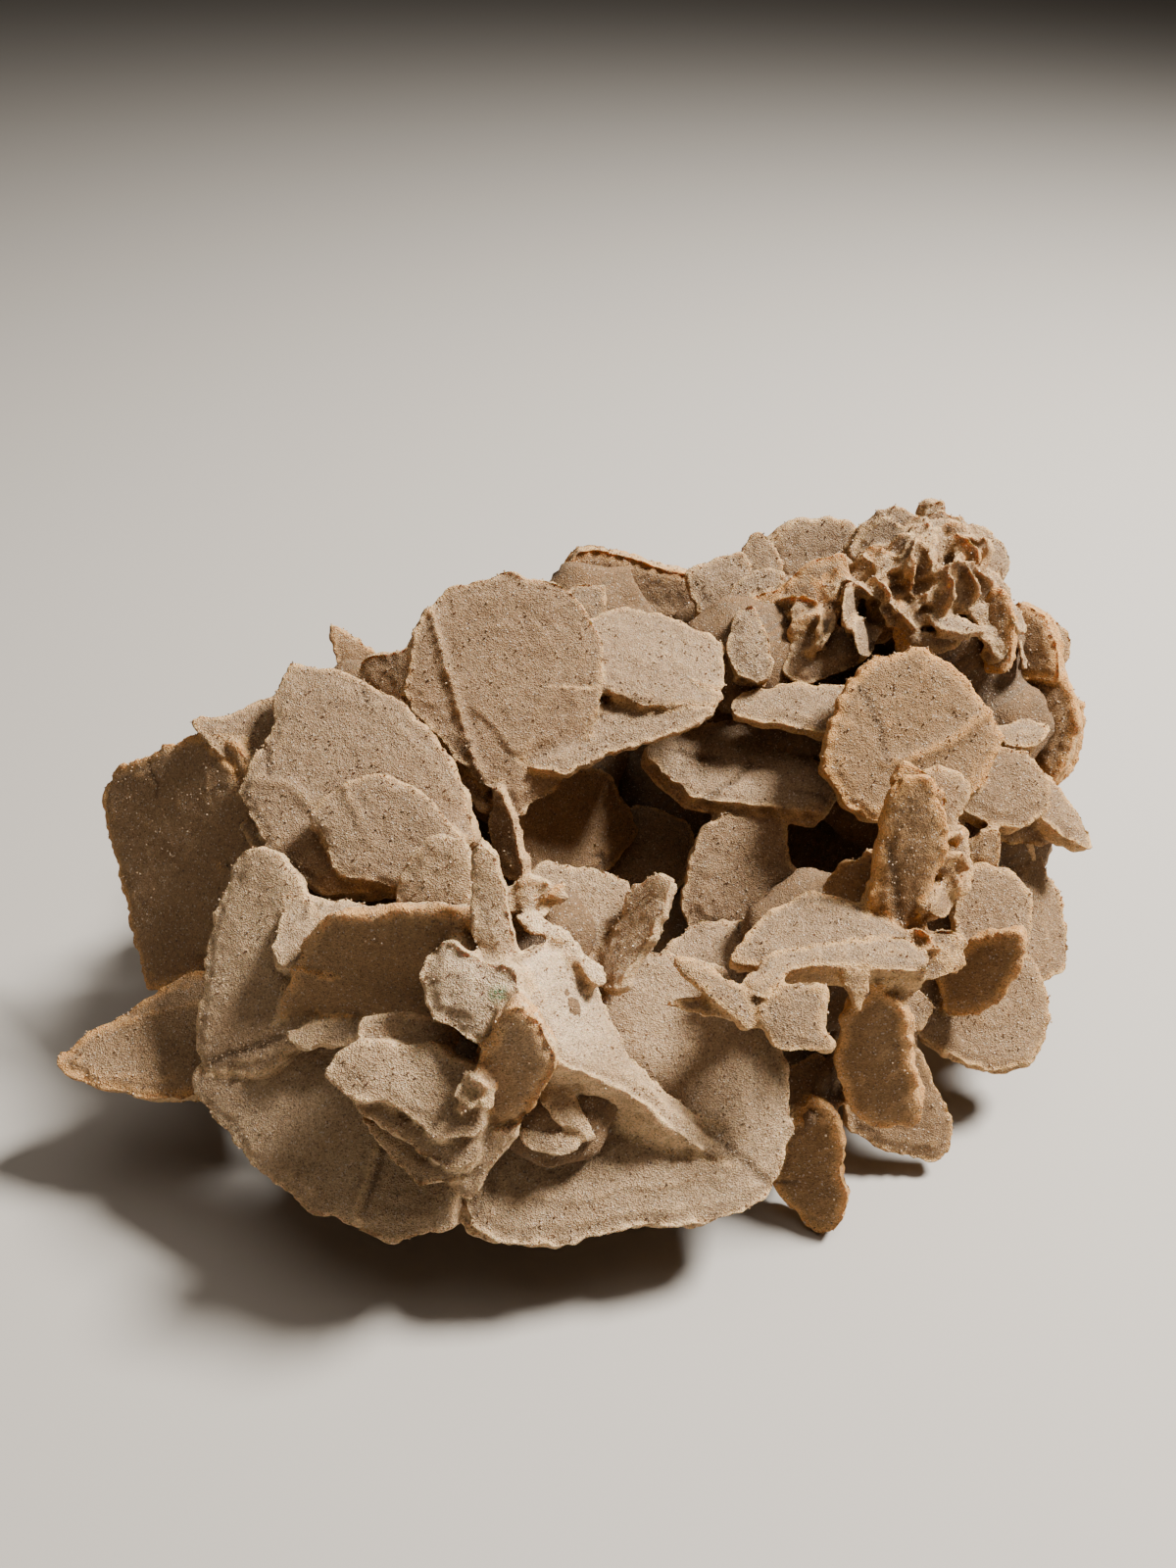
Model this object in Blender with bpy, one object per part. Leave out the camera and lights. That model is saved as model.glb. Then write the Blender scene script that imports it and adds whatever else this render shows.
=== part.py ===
"""A gypsum sand rose: flat crystal blades that grew through one another in wet sand.

The whole rose is one solid. Every blade is thickest at its foot and thins towards a blunt
upper rim, and all the blades are joined where they cross. The rose stands on the flat ends
of its lowest blades, at z = 0.
"""

import math
import random
from collections import namedtuple

import bmesh
import bpy
from mathutils import Vector

# ---- Driving dimensions, in millimetres and degrees ------------------------------------------

MM = 0.001                    # the scene is in metres, the lists below are in millimetres
MIDDLE = (6.0, 22.0)          # where, among the blades' own places, the rose is centred
BOX_MIDDLE = (4.9, 7.6)       # and the middle of the box round it, which is moved to x = y = 0
BLADE_RIM = 0.5               # a blade's thickness at its upper rim, as a share of its foot's
SLAB_RIM = 0.85               # the same for the few thick slabs
LONG_SIDE = 28.0              # an outline side longer than this gets one more point
BOW = 1 / 16                  # and how far that point is pushed out, away from the sides next to it
GROUND_SIDE = 600.0           # the block below the ground that cuts the feet flat
GROUND_DEPTH = 100.0
SEED = 41                     # the hidden blades always grow in the same way

# One blade: the middle of its outline, the way its face looks (turn is measured from the front
# towards the right, lift upwards), its greatest thickness, and its outline as points of
# (right, up-slope) seen facing the blade.
Blade = namedtuple("Blade", "at turn lift thick outline rim", defaults=(BLADE_RIM,))

FRONT_ROSETTE = [
    # The big disc low at the front, and the pair of discs that opens to its left.
    Blade((10, -63, 48), 10, 50, 9, (
        (-46, -12), (-44, -28), (-34, -33), (-20, -35), (-3, -33), (15, -36), (32, -32),
        (41, -18), (43, -2), (40, 13), (30, 28), (5, 38), (-17, 31), (-35, 12))),
    Blade((-68, -71, 43), -15, 45, 8, (
        (-39, 3), (-36, 10), (-22, 19), (0, 26), (20, 22), (36, 5), (40, -16), (24, -23),
        (2, -21), (-14, -14), (-28, -5))),
    Blade((-86, -42, 73), -22, 38, 8, (
        (-13, 26), (-4, 31), (4, 27), (11, 19), (17, 10), (22, -9), (10, -26), (-8, -32),
        (-12, -24), (-15, 0), (-15, 14))),
    Blade((-62, -41, 84), 0, 62, 8, (
        (-18, 2), (-15, 9), (-4, 8), (8, 7), (16, 5), (18, -8), (0, -12), (-17, -9))),
    # The thin sail that stands on them, and the shelves that step down below the sail.
    Blade((-52, -55, 82), -12, 12, 5, (
        (-28, -21), (-25, -8), (-20, 8), (-12, 16), (10, 22), (23, 23), (28, 15), (24, -8),
        (2, -19))),
    Blade((-63, -61, 67), -5, 55, 4, ((-14, -1), (-6, 3), (5, 4), (13, 2), (3, -3), (-9, -4))),
    Blade((-43, -70, 78), 0, 52, 5, (
        (-13, 3), (-8, 5), (6, 4), (13, 1), (11, -5), (1, -5), (-7, -4), (-12, -1))),
    Blade((-43, -83, 73), -3, 46, 6, (
        (-18, 3), (-18, 8), (-13, 11), (6, 11), (18, 5), (19, -8), (15, -11), (8, -11), (2, -7),
        (-3, -3), (-10, -3), (-15, -1))),
    Blade((-41, -88, 64), 0, 44, 5, (
        (-16, 8), (-6, 6), (6, 1), (16, -1), (15, -7), (9, -9), (3, -6), (-3, -1), (-11, 3))),
    Blade((-43, -87, 57), -5, 48, 5, (
        (-15, 8), (-5, 5), (8, -2), (16, -3), (12, -8), (3, -9), (-5, -3))),
    # The knot of short thick crystals where the front blades meet, and the horn on top of it.
    Blade((-27, -68, 92), -25, 35, 16, (
        (-13, 2), (-10, 8), (-7, 10), (3, 8), (10, 9), (13, 2), (10, -4), (7, -10), (-6, -8))),
    Blade((-16, -81, 81), -8, 8, 10, (
        (-6, 14), (0, 19), (5, 14), (9, 5), (6, -5), (1, -16), (-5, -18), (-9, -12), (-9, 1))),
    Blade((-25, -89, 57), -12, 28, 6, (
        (-5, 6), (1, 11), (8, 12), (7, 5), (1, -6), (-2, -13), (-8, -10))),
    Blade((-22, -57, 108), 5, 25, 8, (
        (-2, 18), (2, 9), (5, -12), (3, -18), (-2, -15), (-6, -2), (-5, 12))),
    Blade((-5, -78, 60), 20, 40, 4, ((-3, 9), (2, 4), (7, -11), (1, -8), (-7, 3))),
    Blade((-9, -82, 54), 0, 55, 4, ((-9, 2), (-1, 5), (9, -1), (4, -5), (-6, -3))),
    # The long ridge that runs from the knot down across the big disc.
    Blade((8, -64, 61), 66, 41, 16, (
        (-13, 42), (-6, 42), (2, 38), (6, 28), (3, 16), (-2, 3), (-1, -12), (3, -28), (7, -44),
        (0, -40), (-6, -25), (-10, -5), (-16, 9), (-20, 17), (-17, 30)), 1.0),
    # The fins that stand behind the knot.
    Blade((-7, -55, 91), 30, 60, 5, (
        (-7, 14), (-1, 10), (5, 2), (8, -12), (4, -13), (2, -5), (-1, 3), (-5, 7))),
    Blade((-14, -43, 96), 0, 40, 6, ((-5, 2), (-3, 4), (3, 5), (6, 1), (4, -3), (-1, -5))),
    Blade((-1, -37, 84), 5, 55, 6, (
        (-16, 9), (-10, 16), (3, 14), (12, 9), (16, -1), (10, -14), (-4, -15), (-12, -5))),
    Blade((12, -45, 88), -58, 38, 7, (
        (-4, -15), (-5, -11), (-8, 8), (-5, 15), (1, 17), (6, 1), (7, -13), (3, -17)), 0.8),
    Blade((-38, -37, 99), -15, 35, 6, (
        (-10, -8), (-8, 3), (-3, 11), (6, 11), (10, 2), (9, -8), (0, -11))),
]

LEFT_BLADES = [
    # The broad wing on the far left and the spike that points away below it.
    Blade((-119, 1, 72), -35, 30, 7, (
        (-35, 7), (-32, 16), (-20, 25), (-5, 36), (14, 40), (29, 19), (31, -10), (19, -31),
        (3, -41), (-10, -26), (-19, -14), (-29, -3))),
    Blade((-117, -41, 42), -15, 58, 12, (
        (-28, -11), (-19, -2), (-9, 9), (0, 18), (9, 21), (24, 19), (31, -5), (16, -14),
        (0, -17), (-24, -16))),
    # The wide disc between the wing and the back disc, with a smaller one inside its curve.
    Blade((-62, -4, 105), -10, 50, 9, (
        (-32, -8), (-28, 7), (-25, 12), (-28, 21), (-25, 30), (-11, 29), (8, 23), (20, 12),
        (30, 0), (35, -14), (22, -28), (-2, -32), (-16, -27), (-26, -15))),
    Blade((-53, -22, 102), -5, 42, 6, (
        (-20, 2), (-13, 11), (-3, 15), (4, 13), (13, 8), (20, 0), (18, -10), (5, -15),
        (-10, -13))),
    # The thick wedges that fill the notch on the left.
    Blade((-97, 13, 103), 10, 50, 9, (
        (-14, 9), (0, 10), (11, 14), (17, 4), (13, -12), (2, -15), (-5, -4))),
    Blade((-86, -13, 91), 0, 50, 6, ((-10, 4), (-4, 8), (6, 2), (9, -6), (0, -8))),
    Blade((-96, 35, 98), 0, 40, 6, ((-10, -1), (-3, 5), (5, 8), (11, 2), (5, -8), (-7, -8))),
    Blade((-96, -1, 87), -30, 35, 6, ((-7, 0), (-9, 9), (-2, 14), (7, 5), (8, -9), (0, -13))),
    # Two small blades that look over the wing from behind.
    Blade((-78, 81, 90), 20, 20, 6, ((-6, 13), (-1, 9), (7, 1), (8, -11), (-5, -9))),
    Blade((-61, 59, 95), -5, 15, 7, (
        (-13, 2), (-8, 9), (3, 10), (7, 14), (12, 6), (8, -11), (-5, -13))),
]

MIDDLE_BLADES = [
    # The tall disc behind the rosette, its folded left side, and the double ear on its right.
    Blade((-24, 25, 114), 10, 30, 8, (
        (-29, 3), (-25, 8), (-24, 17), (-20, 24), (-12, 30), (-4, 31), (4, 34), (10, 31),
        (17, 30), (24, 23), (30, 11), (26, -8), (13, -28), (0, -36), (-9, -25), (-18, -14))),
    Blade((-41, 26, 107), -8, 34, 7, (
        (-14, 4), (-11, 10), (-11, 20), (-5, 29), (0, 18), (7, -1), (14, -18), (15, -29),
        (5, -20), (-5, -9))),
    Blade((14, 39, 116), 15, 65, 5, (
        (-29, -5), (-24, 6), (-14, 14), (-4, 18), (6, 17), (16, 11), (27, 0), (24, -12),
        (18, -20), (-2, -16), (-11, -9))),
    Blade((10, 21, 103), -8, 60, 5, (
        (-28, -13), (-15, -16), (-5, -9), (6, -4), (16, 1), (25, 7), (28, 15), (16, 16),
        (-6, 8), (-21, -2))),
    # The blades round the deep hollow in the middle.
    Blade((46, 29, 84), -10, 65, 6, (
        (-30, 2), (-24, -5), (-13, -13), (5, -14), (26, -14), (31, -2), (15, 11), (0, 18),
        (-18, 12))),
    Blade((45, 5, 61), 0, 35, 6, (
        (-17, -9), (-15, 5), (-12, 14), (-5, 19), (13, 18), (17, 0), (11, -13), (-4, -19),
        (-14, -16))),
    Blade((40, -22, 50), 5, 58, 7, (
        (-18, -12), (-20, 4), (-8, 14), (10, 14), (18, 4), (12, -12), (-4, -16))),
    Blade((-6, 24, 67), 40, 20, 7, ((-20, 25), (-2, 20), (18, 8), (24, -15), (2, -23), (-19, -12))),
    Blade((-22, -3, 83), -50, 20, 6, ((-12, 11), (-7, 11), (5, 1), (12, -7), (0, -11), (-9, 0))),
    Blade((13, 33, 46), 0, 55, 8, (
        (-26, 6), (-12, 15), (4, 16), (19, 11), (25, -3), (12, -16), (-13, -16))),
    Blade((18, 56, 50), 10, 25, 8, ((-21, 14), (-4, 16), (16, 7), (22, -11), (1, -16), (-19, -6))),
]

RIGHT_ROSETTE = [
    # The thick shelf, its spikes, and the teeth below it.
    Blade((61, -52, 78), -6, 80, 13, (
        (-23, -6), (-15, 3), (1, 8), (19, 12), (25, 6), (24, 1), (14, 1), (2, 1), (-10, -1),
        (-14, -8), (-18, -11)), SLAB_RIM),
    Blade((60, -40, 80), 0, 66, 8, (
        (-24, -7), (-14, 6), (-2, 13), (12, 8), (24, 0), (24, -10), (-6, -10)), SLAB_RIM),
    Blade((32, -59, 81), 20, 55, 5, (
        (-9, 12), (-4, 10), (1, 5), (5, 0), (9, -10), (5, -12), (-1, -4), (-5, 2), (-9, 8))),
    Blade((28, -60, 77), -10, 50, 4, ((-9, -1), (-4, 1), (0, 3), (6, 1), (9, -2), (0, -2))),
    Blade((51, -66, 75), 5, 45, 5, (
        (-10, 4), (-4, 11), (8, 11), (8, -4), (7, -6), (1, -6), (-4, -5), (-8, -2))),
    Blade((67, -57, 74), 0, 30, 4, ((-4, 8), (4, 9), (3, -1), (1, -3), (-1, -1))),
    # The tall blade on the shelf, with what stands beside and behind it.
    Blade((82, -30, 94), 5, 15, 8, (
        (-7, 10), (-6, 22), (-3, 28), (4, 27), (9, 17), (10, 5), (6, -12), (5, -22), (-1, -28),
        (-8, -24), (-10, -10))),
    Blade((87, -15, 102), 12, 20, 6, (
        (-6, 13), (-3, 16), (2, 12), (8, 5), (6, -15), (-1, -9), (-8, 4))),
    Blade((73, -24, 78), -38, 12, 6, (
        (-8, -13), (-10, 2), (-6, 11), (0, 17), (7, 14), (11, -7), (2, -15))),
    Blade((95, -9, 102), 20, 35, 6, ((-6, 8), (2, 9), (10, 2), (6, -4), (0, -8), (-7, -8))),
    Blade((98, -17, 89), 10, 40, 8, ((-6, 4), (1, 10), (5, 6), (4, -7), (-4, -8))),
    Blade((95, -26, 85), 60, 20, 6, ((-8, 6), (9, -1), (15, -7), (-8, -4), (-15, 2))),
    Blade((90, -43, 78), 0, 45, 9, ((-8, 2), (0, 7), (8, 5), (6, -4), (-3, -7))),
    Blade((80, -49, 71), -10, 35, 6, ((-7, -1), (-1, 4), (7, 2), (1, -5))),
    # The discs that fan out to the right.
    Blade((116, -12, 62), 15, 42, 6, (
        (-12, 6), (-6, 14), (2, 15), (8, 11), (13, 2), (9, -11), (-4, -14), (-13, -8))),
    Blade((109, -28, 55), -35, 15, 5, (
        (8, 18), (11, 10), (8, -6), (2, -14), (-5, -17), (-11, -2), (-2, 11))),
    Blade((128, 0, 50), 25, 45, 7, (
        (1, 19), (10, 21), (17, 16), (15, 10), (17, 1), (15, -11), (9, -20), (-5, -21),
        (-18, -12), (-18, 5))),
    Blade((113, -25, 36), 15, 42, 7, (
        (-23, 0), (-15, -8), (-6, -15), (4, -18), (13, -18), (20, -11), (23, 0), (20, 11),
        (5, 16), (-15, 12))),
    Blade((91, -32, 44), 5, 40, 5, ((-8, 1), (-3, 6), (4, 6), (8, 0), (3, -6), (-5, -5))),
    # The fin that hangs from the shelf, and the lowest blades on the right.
    Blade((77, -58, 52), -12, 12, 6, (
        (-12, 17), (-4, 25), (4, 19), (7, 3), (12, -10), (13, -15), (3, -20), (-6, -15),
        (-12, -1))),
    Blade((88, -45, 24), 5, 28, 6, (
        (-3, 22), (3, 18), (8, 8), (15, -8), (16, -15), (11, -22), (-4, -17), (-15, -10),
        (-16, 8))),
    Blade((61, -66, 21), -28, 15, 6, (
        (3, 19), (7, 9), (11, -5), (12, -15), (7, -22), (-3, -16), (-9, -10), (-9, 8),
        (-4, 21))),
    Blade((61, -55, 37), 0, 50, 5, (
        (-10, 4), (1, 10), (12, 6), (10, -2), (3, -7), (-12, -7))),
]

RIGHT_BACK_BLADES = [
    # The broad face on the right, the lobe and the spike below it, and the tongue to its left.
    Blade((92, 20, 103), 5, 40, 8, (
        (-26, -7), (-22, 6), (-17, 16), (-10, 22), (5, 25), (13, 19), (22, 8), (27, -3),
        (21, -16), (8, -24), (-12, -25), (-22, -18))),
    Blade((120, 14, 88), 10, 42, 7, (
        (-14, 5), (0, 12), (9, 9), (14, 0), (13, -8), (3, -13), (-6, -10), (-14, -5))),
    Blade((138, 15, 78), 35, 50, 7, ((2, 12), (6, 5), (7, -9), (4, -15), (-4, -8), (-8, 3))),
    Blade((130, 14, 72), 20, 20, 7, ((-15, 7), (5, 2), (16, -7), (4, -6), (-10, -1))),
    Blade((61, 34, 102), 0, 60, 7, (
        (-20, 0), (-15, 5), (0, 8), (18, 7), (20, -5), (8, -9), (-4, -7), (-16, -4))),
    Blade((63, 32, 82), -20, 30, 7, (
        (-13, 7), (-8, 12), (9, 14), (11, -12), (-2, -6), (-12, -1))),
    Blade((114, 1, 76), 0, 20, 7, ((-5, 0), (-1, 6), (4, 6), (5, -5), (-3, -6))),
    # The nested rims that curve round the pocket at the right.
    Blade((123, 53, 117), -45, 22, 6, (
        (-9, 3), (-8, 9), (-4, 13), (1, 10), (6, 3), (8, -5), (8, -10), (2, -13), (-5, 0))),
    Blade((136, 61, 102), -42, 26, 8, (
        (-9, 4), (-9, 16), (1, 16), (7, 11), (12, 3), (14, -3), (4, -4), (0, -13), (-6, -16))),
    Blade((141, 48, 86), -38, 28, 8, (
        (-15, -5), (-12, 6), (-8, 13), (-4, 19), (3, 18), (8, 11), (12, 4), (13, -6), (11, -16),
        (-1, -10), (-9, -10))),
    Blade((150, 49, 81), 10, 30, 7, (
        (0, 16), (3, 15), (7, 10), (7, 2), (4, -7), (-3, -16), (-8, -14), (-1, -4))),
    Blade((151, 74, 100), 0, 30, 7, (
        (-5, 7), (-1, 8), (3, 5), (5, 0), (4, -5), (1, -8), (-4, -6))),
    Blade((130, 34, 92), 10, 60, 8, ((-9, 3), (2, 5), (10, 1), (4, -5), (-6, -5))),
]

CREST_BLADES = [
    # The thick slab at the back and the fan of blades beside it.
    Blade((22, 87, 106), 15, 8, 9, (
        (-30, 17), (-26, 23), (-20, 23), (12, 10), (31, 2), (30, -15), (11, -23), (-17, -12),
        (-29, 4)), SLAB_RIM),
    Blade((0, 62, 121), 0, 40, 6, ((-7, 2), (-3, 6), (5, 6), (6, -3), (0, -7), (-6, -4))),
    Blade((43, 76, 117), 5, 35, 6, ((-12, 7), (-2, 12), (6, 13), (11, 3), (5, -12), (-8, -9))),
    Blade((56, 90, 118), 10, 25, 6, ((-8, 0), (-4, 11), (1, 12), (5, 8), (8, -4), (-3, -12))),
    Blade((75, 99, 118), 5, 22, 6, (
        (-16, 6), (-8, 12), (4, 13), (13, 9), (16, -5), (3, -14), (-13, -9))),
    Blade((51, 67, 120), -20, 45, 7, ((-9, -5), (-7, 3), (-1, 10), (8, 10), (9, 2), (-2, -10))),
    Blade((62, 60, 119), -8, 32, 7, (
        (-13, 3), (-3, 9), (6, 17), (14, 20), (18, 8), (12, -4), (-5, -16), (-16, -14),
        (-17, -3))),
    Blade((48, 46, 117), 0, 40, 9, ((-7, -2), (-4, 9), (1, 11), (6, 0), (6, -12), (-4, -11))),
    Blade((74, 49, 111), 0, 35, 8, ((-16, -5), (-12, 4), (9, 10), (16, 8), (10, -1), (-8, -9))),
    # The rosette of small blades on the highest corner.
    Blade((94, 84, 131), -15, 35, 6, (
        (-12, -5), (-11, 2), (-4, 10), (6, 10), (12, 8), (13, -2), (2, -12), (-8, -10))),
    Blade((111, 84, 132), 0, 25, 6, ((-10, 5), (-4, 9), (8, 6), (10, -3), (0, -11), (-8, -6))),
    Blade((122, 74, 131), 20, 30, 6, ((-5, 11), (3, 8), (9, -3), (6, -8), (-5, -10), (-9, 1))),
    Blade((110, 92, 136), 0, 20, 7, ((-4, -9), (-4, 2), (-1, 5), (3, 4), (4, -8))),
    Blade((91, 66, 132), -50, 30, 4, ((-11, 1), (-5, 5), (2, 2), (10, 0), (11, -4), (-3, -4))),
    Blade((84, 66, 125), -30, 20, 5, ((-4, 2), (-3, 7), (0, 8), (3, 2), (4, -7), (1, -9))),
    Blade((96, 71, 134), -35, 25, 5, ((-5, 0), (-3, 5), (1, 6), (4, 2), (4, -4), (-1, -5))),
    Blade((109, 77, 137), 0, 50, 5, ((-12, -1), (-9, 3), (0, 5), (9, 2), (12, -2), (0, -3))),
    Blade((105, 68, 136), 70, 20, 4, ((-12, 3), (0, 5), (13, 1), (7, -7))),
    Blade((119, 70, 135), -60, 20, 5, ((1, -6), (-3, 2), (0, 5), (3, 2), (4, -5))),
    Blade((116, 64, 126), 20, 50, 8, ((-8, 6), (-1, 7), (7, 5), (9, -1), (4, -6), (-4, -6))),
    Blade((102, 54, 124), -8, 38, 5, ((-7, 4), (-5, 6), (2, 7), (7, 2), (6, -3), (-6, -6))),
    Blade((109, 48, 122), 8, 60, 4, ((-9, 3), (-7, 5), (0, 3), (9, -3), (1, -4), (-5, -2))),
    Blade((103, 48, 116), 0, 20, 5, ((-9, 4), (-1, 3), (10, 4), (7, -1), (1, -3), (-7, -1))),
    Blade((94, 51, 118), -15, 10, 5, ((-3, 2), (-2, 7), (1, 7), (3, 0), (2, -8), (-1, -7))),
    Blade((76, 70, 121), -40, 20, 5, ((-1, -12), (-5, 3), (-3, 12), (1, 12), (5, 2), (5, -10))),
    Blade((82, 66, 123), -40, 22, 5, ((-2, -12), (-5, 2), (-3, 12), (2, 11), (5, 1), (4, -10))),
    Blade((89, 59, 120), -40, 25, 5, ((-3, -10), (-5, 3), (-2, 10), (3, 9), (6, 1), (3, -7))),
]

# The matrix: thick peaked lumps of sand and crystal, all but hidden, that the blades grew out
# of. Each is its middle, turn, lift, thickness and radius.
MATRIX = [
    # Under the front rosette and inside its knot.
    ((-22, -46, 54), -5, 45, 32, 30),
    ((-38, -62, 48), -5, 48, 26, 20),
    ((-8, -72, 54), 5, 50, 22, 17),
    ((-17, -64, 80), 0, 50, 24, 16),
    ((-10, -42, 84), 5, 50, 20, 14),
    ((-10, -28, 34), 0, 70, 34, 34),
    ((-34, -36, 84), -5, 45, 18, 14),
    # Behind the blades on the left.
    ((-72, -12, 76), -20, 45, 30, 30),
    ((-54, -18, 96), -8, 46, 18, 14),
    ((-88, -30, 48), -15, 45, 24, 24),
    ((-82, 0, 54), -20, 60, 34, 32),
    ((-100, 12, 58), -35, 30, 26, 27),
    ((-92, 28, 88), 0, 45, 20, 16),
    ((-72, 62, 74), 10, 40, 28, 25),
    ((-70, 24, 38), 0, 80, 40, 38),
    ((-34, 56, 36), 0, 80, 36, 32),
    # Behind the tall disc, and the floor of the hollow.
    ((-20, 54, 88), 95, 10, 9, 36),
    ((-16, 52, 70), 5, 40, 30, 30),
    ((14, 14, 28), 0, 80, 30, 36),
    ((24, 44, 28), 0, 80, 30, 36),
    # Under the shelf and behind the blades on the right.
    ((66, -22, 58), 0, 55, 30, 24),
    ((74, -30, 36), 5, 40, 22, 24),
    ((66, -50, 28), 62, 0, 8, 18),
    ((102, -6, 46), 12, 40, 24, 28),
    ((85, 30, 40), 0, 80, 40, 36),
    ((126, 22, 66), 20, 40, 22, 20),
    ((94, 42, 88), 95, 15, 8, 26),
    ((92, 36, 76), 5, 40, 26, 26),
    ((66, 42, 88), 0, 50, 26, 20),
    ((130, 62, 90), -10, 30, 22, 22),
    ((138, 66, 86), 30, 30, 22, 20),
    ((120, 52, 64), 10, 30, 34, 27),
    ((130, 46, 88), -10, 45, 18, 15),
    # Under the crest and the slab.
    ((114, 62, 108), 5, 40, 28, 22),
    ((104, 74, 116), 5, 55, 30, 22),
    ((98, 80, 96), 10, 50, 36, 29),
    ((47, 54, 108), 0, 40, 30, 19),
    ((1, 70, 108), 15, 25, 28, 22),
    ((55, 80, 92), 5, 40, 34, 30),
    ((15, 72, 46), 0, 80, 46, 40),
]
LUMP_RIM = 0.3                # a lump's rim thickness, as a share of its thickest part
LUMP_CORNERS = 7

# How unevenly the blades below grew: each corner's reach, as a share of the radius, and how
# much wider than tall they are.
GROWN_REACH = (0.86, 1.1)
GROWN_WIDTH = 1.08

# The blades that grew towards the back, in tiers: how many, the tier's height, how far its
# blades stand from the middle across and in depth, their radius, and how far they lean back.
BACK_TIERS = (
    (8, 26, 106, 60, 28, 10),
    (9, 52, 112, 70, 27, 26),
    (7, 80, 92, 62, 23, 44),
)
BACK_SWEEP = (-96, 96)        # the tiers run from the left side round the back to the right side
BACK_SPLAY = (20, 55)         # how far a back blade turns aside from facing straight out
BACK_PLACE = (0.3, 0.7)       # where a back blade stands within its own share of the sweep
BACK_RISE = 7                 # how far it may stand above or below its tier
BACK_LEAN = 14                # how far it may lean more or less than its tier
BACK_THICKNESS = (6, 8)
BACK_SIZE = (0.8, 1.15)       # its radius, as a share of its tier's
BACK_CORNERS = 8

# The small blades that crowd the highest corner, strewn through an egg-shaped space.
CREST_SMALL = 6
CREST_MIDDLE = (106, 70, 127)
CREST_SPREAD = (15, 13, 8)
CREST_RADIUS = 9
CREST_THICKNESS = 3.5
CREST_TURN = (-90, 90)
CREST_LIFT = (-10, 60)
CREST_CORNERS = 6

# The feet: thick blades that stand nearly upright under the rose and end on the ground.
FEET = 9
FOOT_RADIUS = 26
FOOT_HEIGHT = 18
FOOT_SPREAD = (80, 46)
FOOT_THICKNESS = 12
FOOT_PLACE = 0.2              # how far a foot may stand from its place, as a share of their step
FOOT_TURN = 50                # how far it may turn away from lying along the ring of feet
FOOT_LEAN = 12
FOOT_CORNERS = 7


# ---- The shape of one blade ------------------------------------------------------------------

def blade_axes(turn, lift):
    """The blade's own right, up-slope and outward directions."""
    around, above = math.radians(turn), math.radians(lift)
    right = Vector((math.cos(around), math.sin(around), 0.0))
    out = Vector((math.sin(around) * math.cos(above), -math.cos(around) * math.cos(above),
                  math.sin(above)))
    return right, out.cross(right), out


def bowed_outline(points):
    """The outline, with one more point bowed out of each of its long sides."""
    result = []
    count = len(points)
    for index in range(count):
        before, start, end, after = (Vector(points[(index + step) % count]) for step in range(-1, 3))
        result.append(start)
        if (end - start).length > LONG_SIDE:
            result.append((start + end) * (0.5 + BOW) - (before + after) * BOW)
    return result


def add_blade(mesh, blade):
    """A flat-faced wedge: thick at its foot, thinner towards its upper rim."""
    right, up, out = blade_axes(blade.turn, blade.lift)
    middle = Vector(blade.at)
    outline = bowed_outline(blade.outline)
    lowest = min(point.y for point in outline)
    height = max(point.y for point in outline) - lowest

    def face_points(side):
        result = []
        for point in outline:
            taper = 1.0 - (1.0 - blade.rim) * (point.y - lowest) / height
            place = middle + right * point.x + up * point.y + out * (side * blade.thick * taper / 2)
            result.append(mesh.verts.new(place * MM))
        return result

    front, back = face_points(1), face_points(-1)
    mesh.faces.new(front)
    mesh.faces.new(reversed(back))
    for index in range(len(outline)):
        after = (index + 1) % len(outline)
        mesh.faces.new((front[after], front[index], back[index], back[after]))


def add_lump(mesh, at, turn, lift, thick, radius):
    """A lump with a blunt rim and a peak on either side."""
    right, up, out = blade_axes(turn, lift)
    middle = Vector(at)
    corners = [math.tau * index / LUMP_CORNERS for index in range(LUMP_CORNERS)]
    outline = [(radius * math.cos(angle), radius * math.sin(angle)) for angle in corners]

    def vertex(point, height):
        return mesh.verts.new((middle + right * point[0] + up * point[1] + out * height) * MM)

    front = [vertex(point, thick * LUMP_RIM / 2) for point in outline]
    back = [vertex(point, -thick * LUMP_RIM / 2) for point in outline]
    front_peak, back_peak = vertex((0, 0), thick / 2), vertex((0, 0), -thick / 2)
    for index in range(len(outline)):
        after = (index + 1) % len(outline)
        mesh.faces.new((front[index], front[after], front_peak))
        mesh.faces.new((back[after], back[index], back_peak))
        mesh.faces.new((front[after], front[index], back[index], back[after]))


def grown_outline(chance, radius, corners):
    """A roughly round outline, a little wider than tall, with uneven growth."""
    outline = []
    for corner in range(corners):
        angle = math.tau * corner / corners
        reach = radius * chance.uniform(*GROWN_REACH)
        outline.append((reach * GROWN_WIDTH * math.cos(angle), reach * math.sin(angle)))
    return outline


# ---- The blades that no outline above describes ----------------------------------------------

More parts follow.
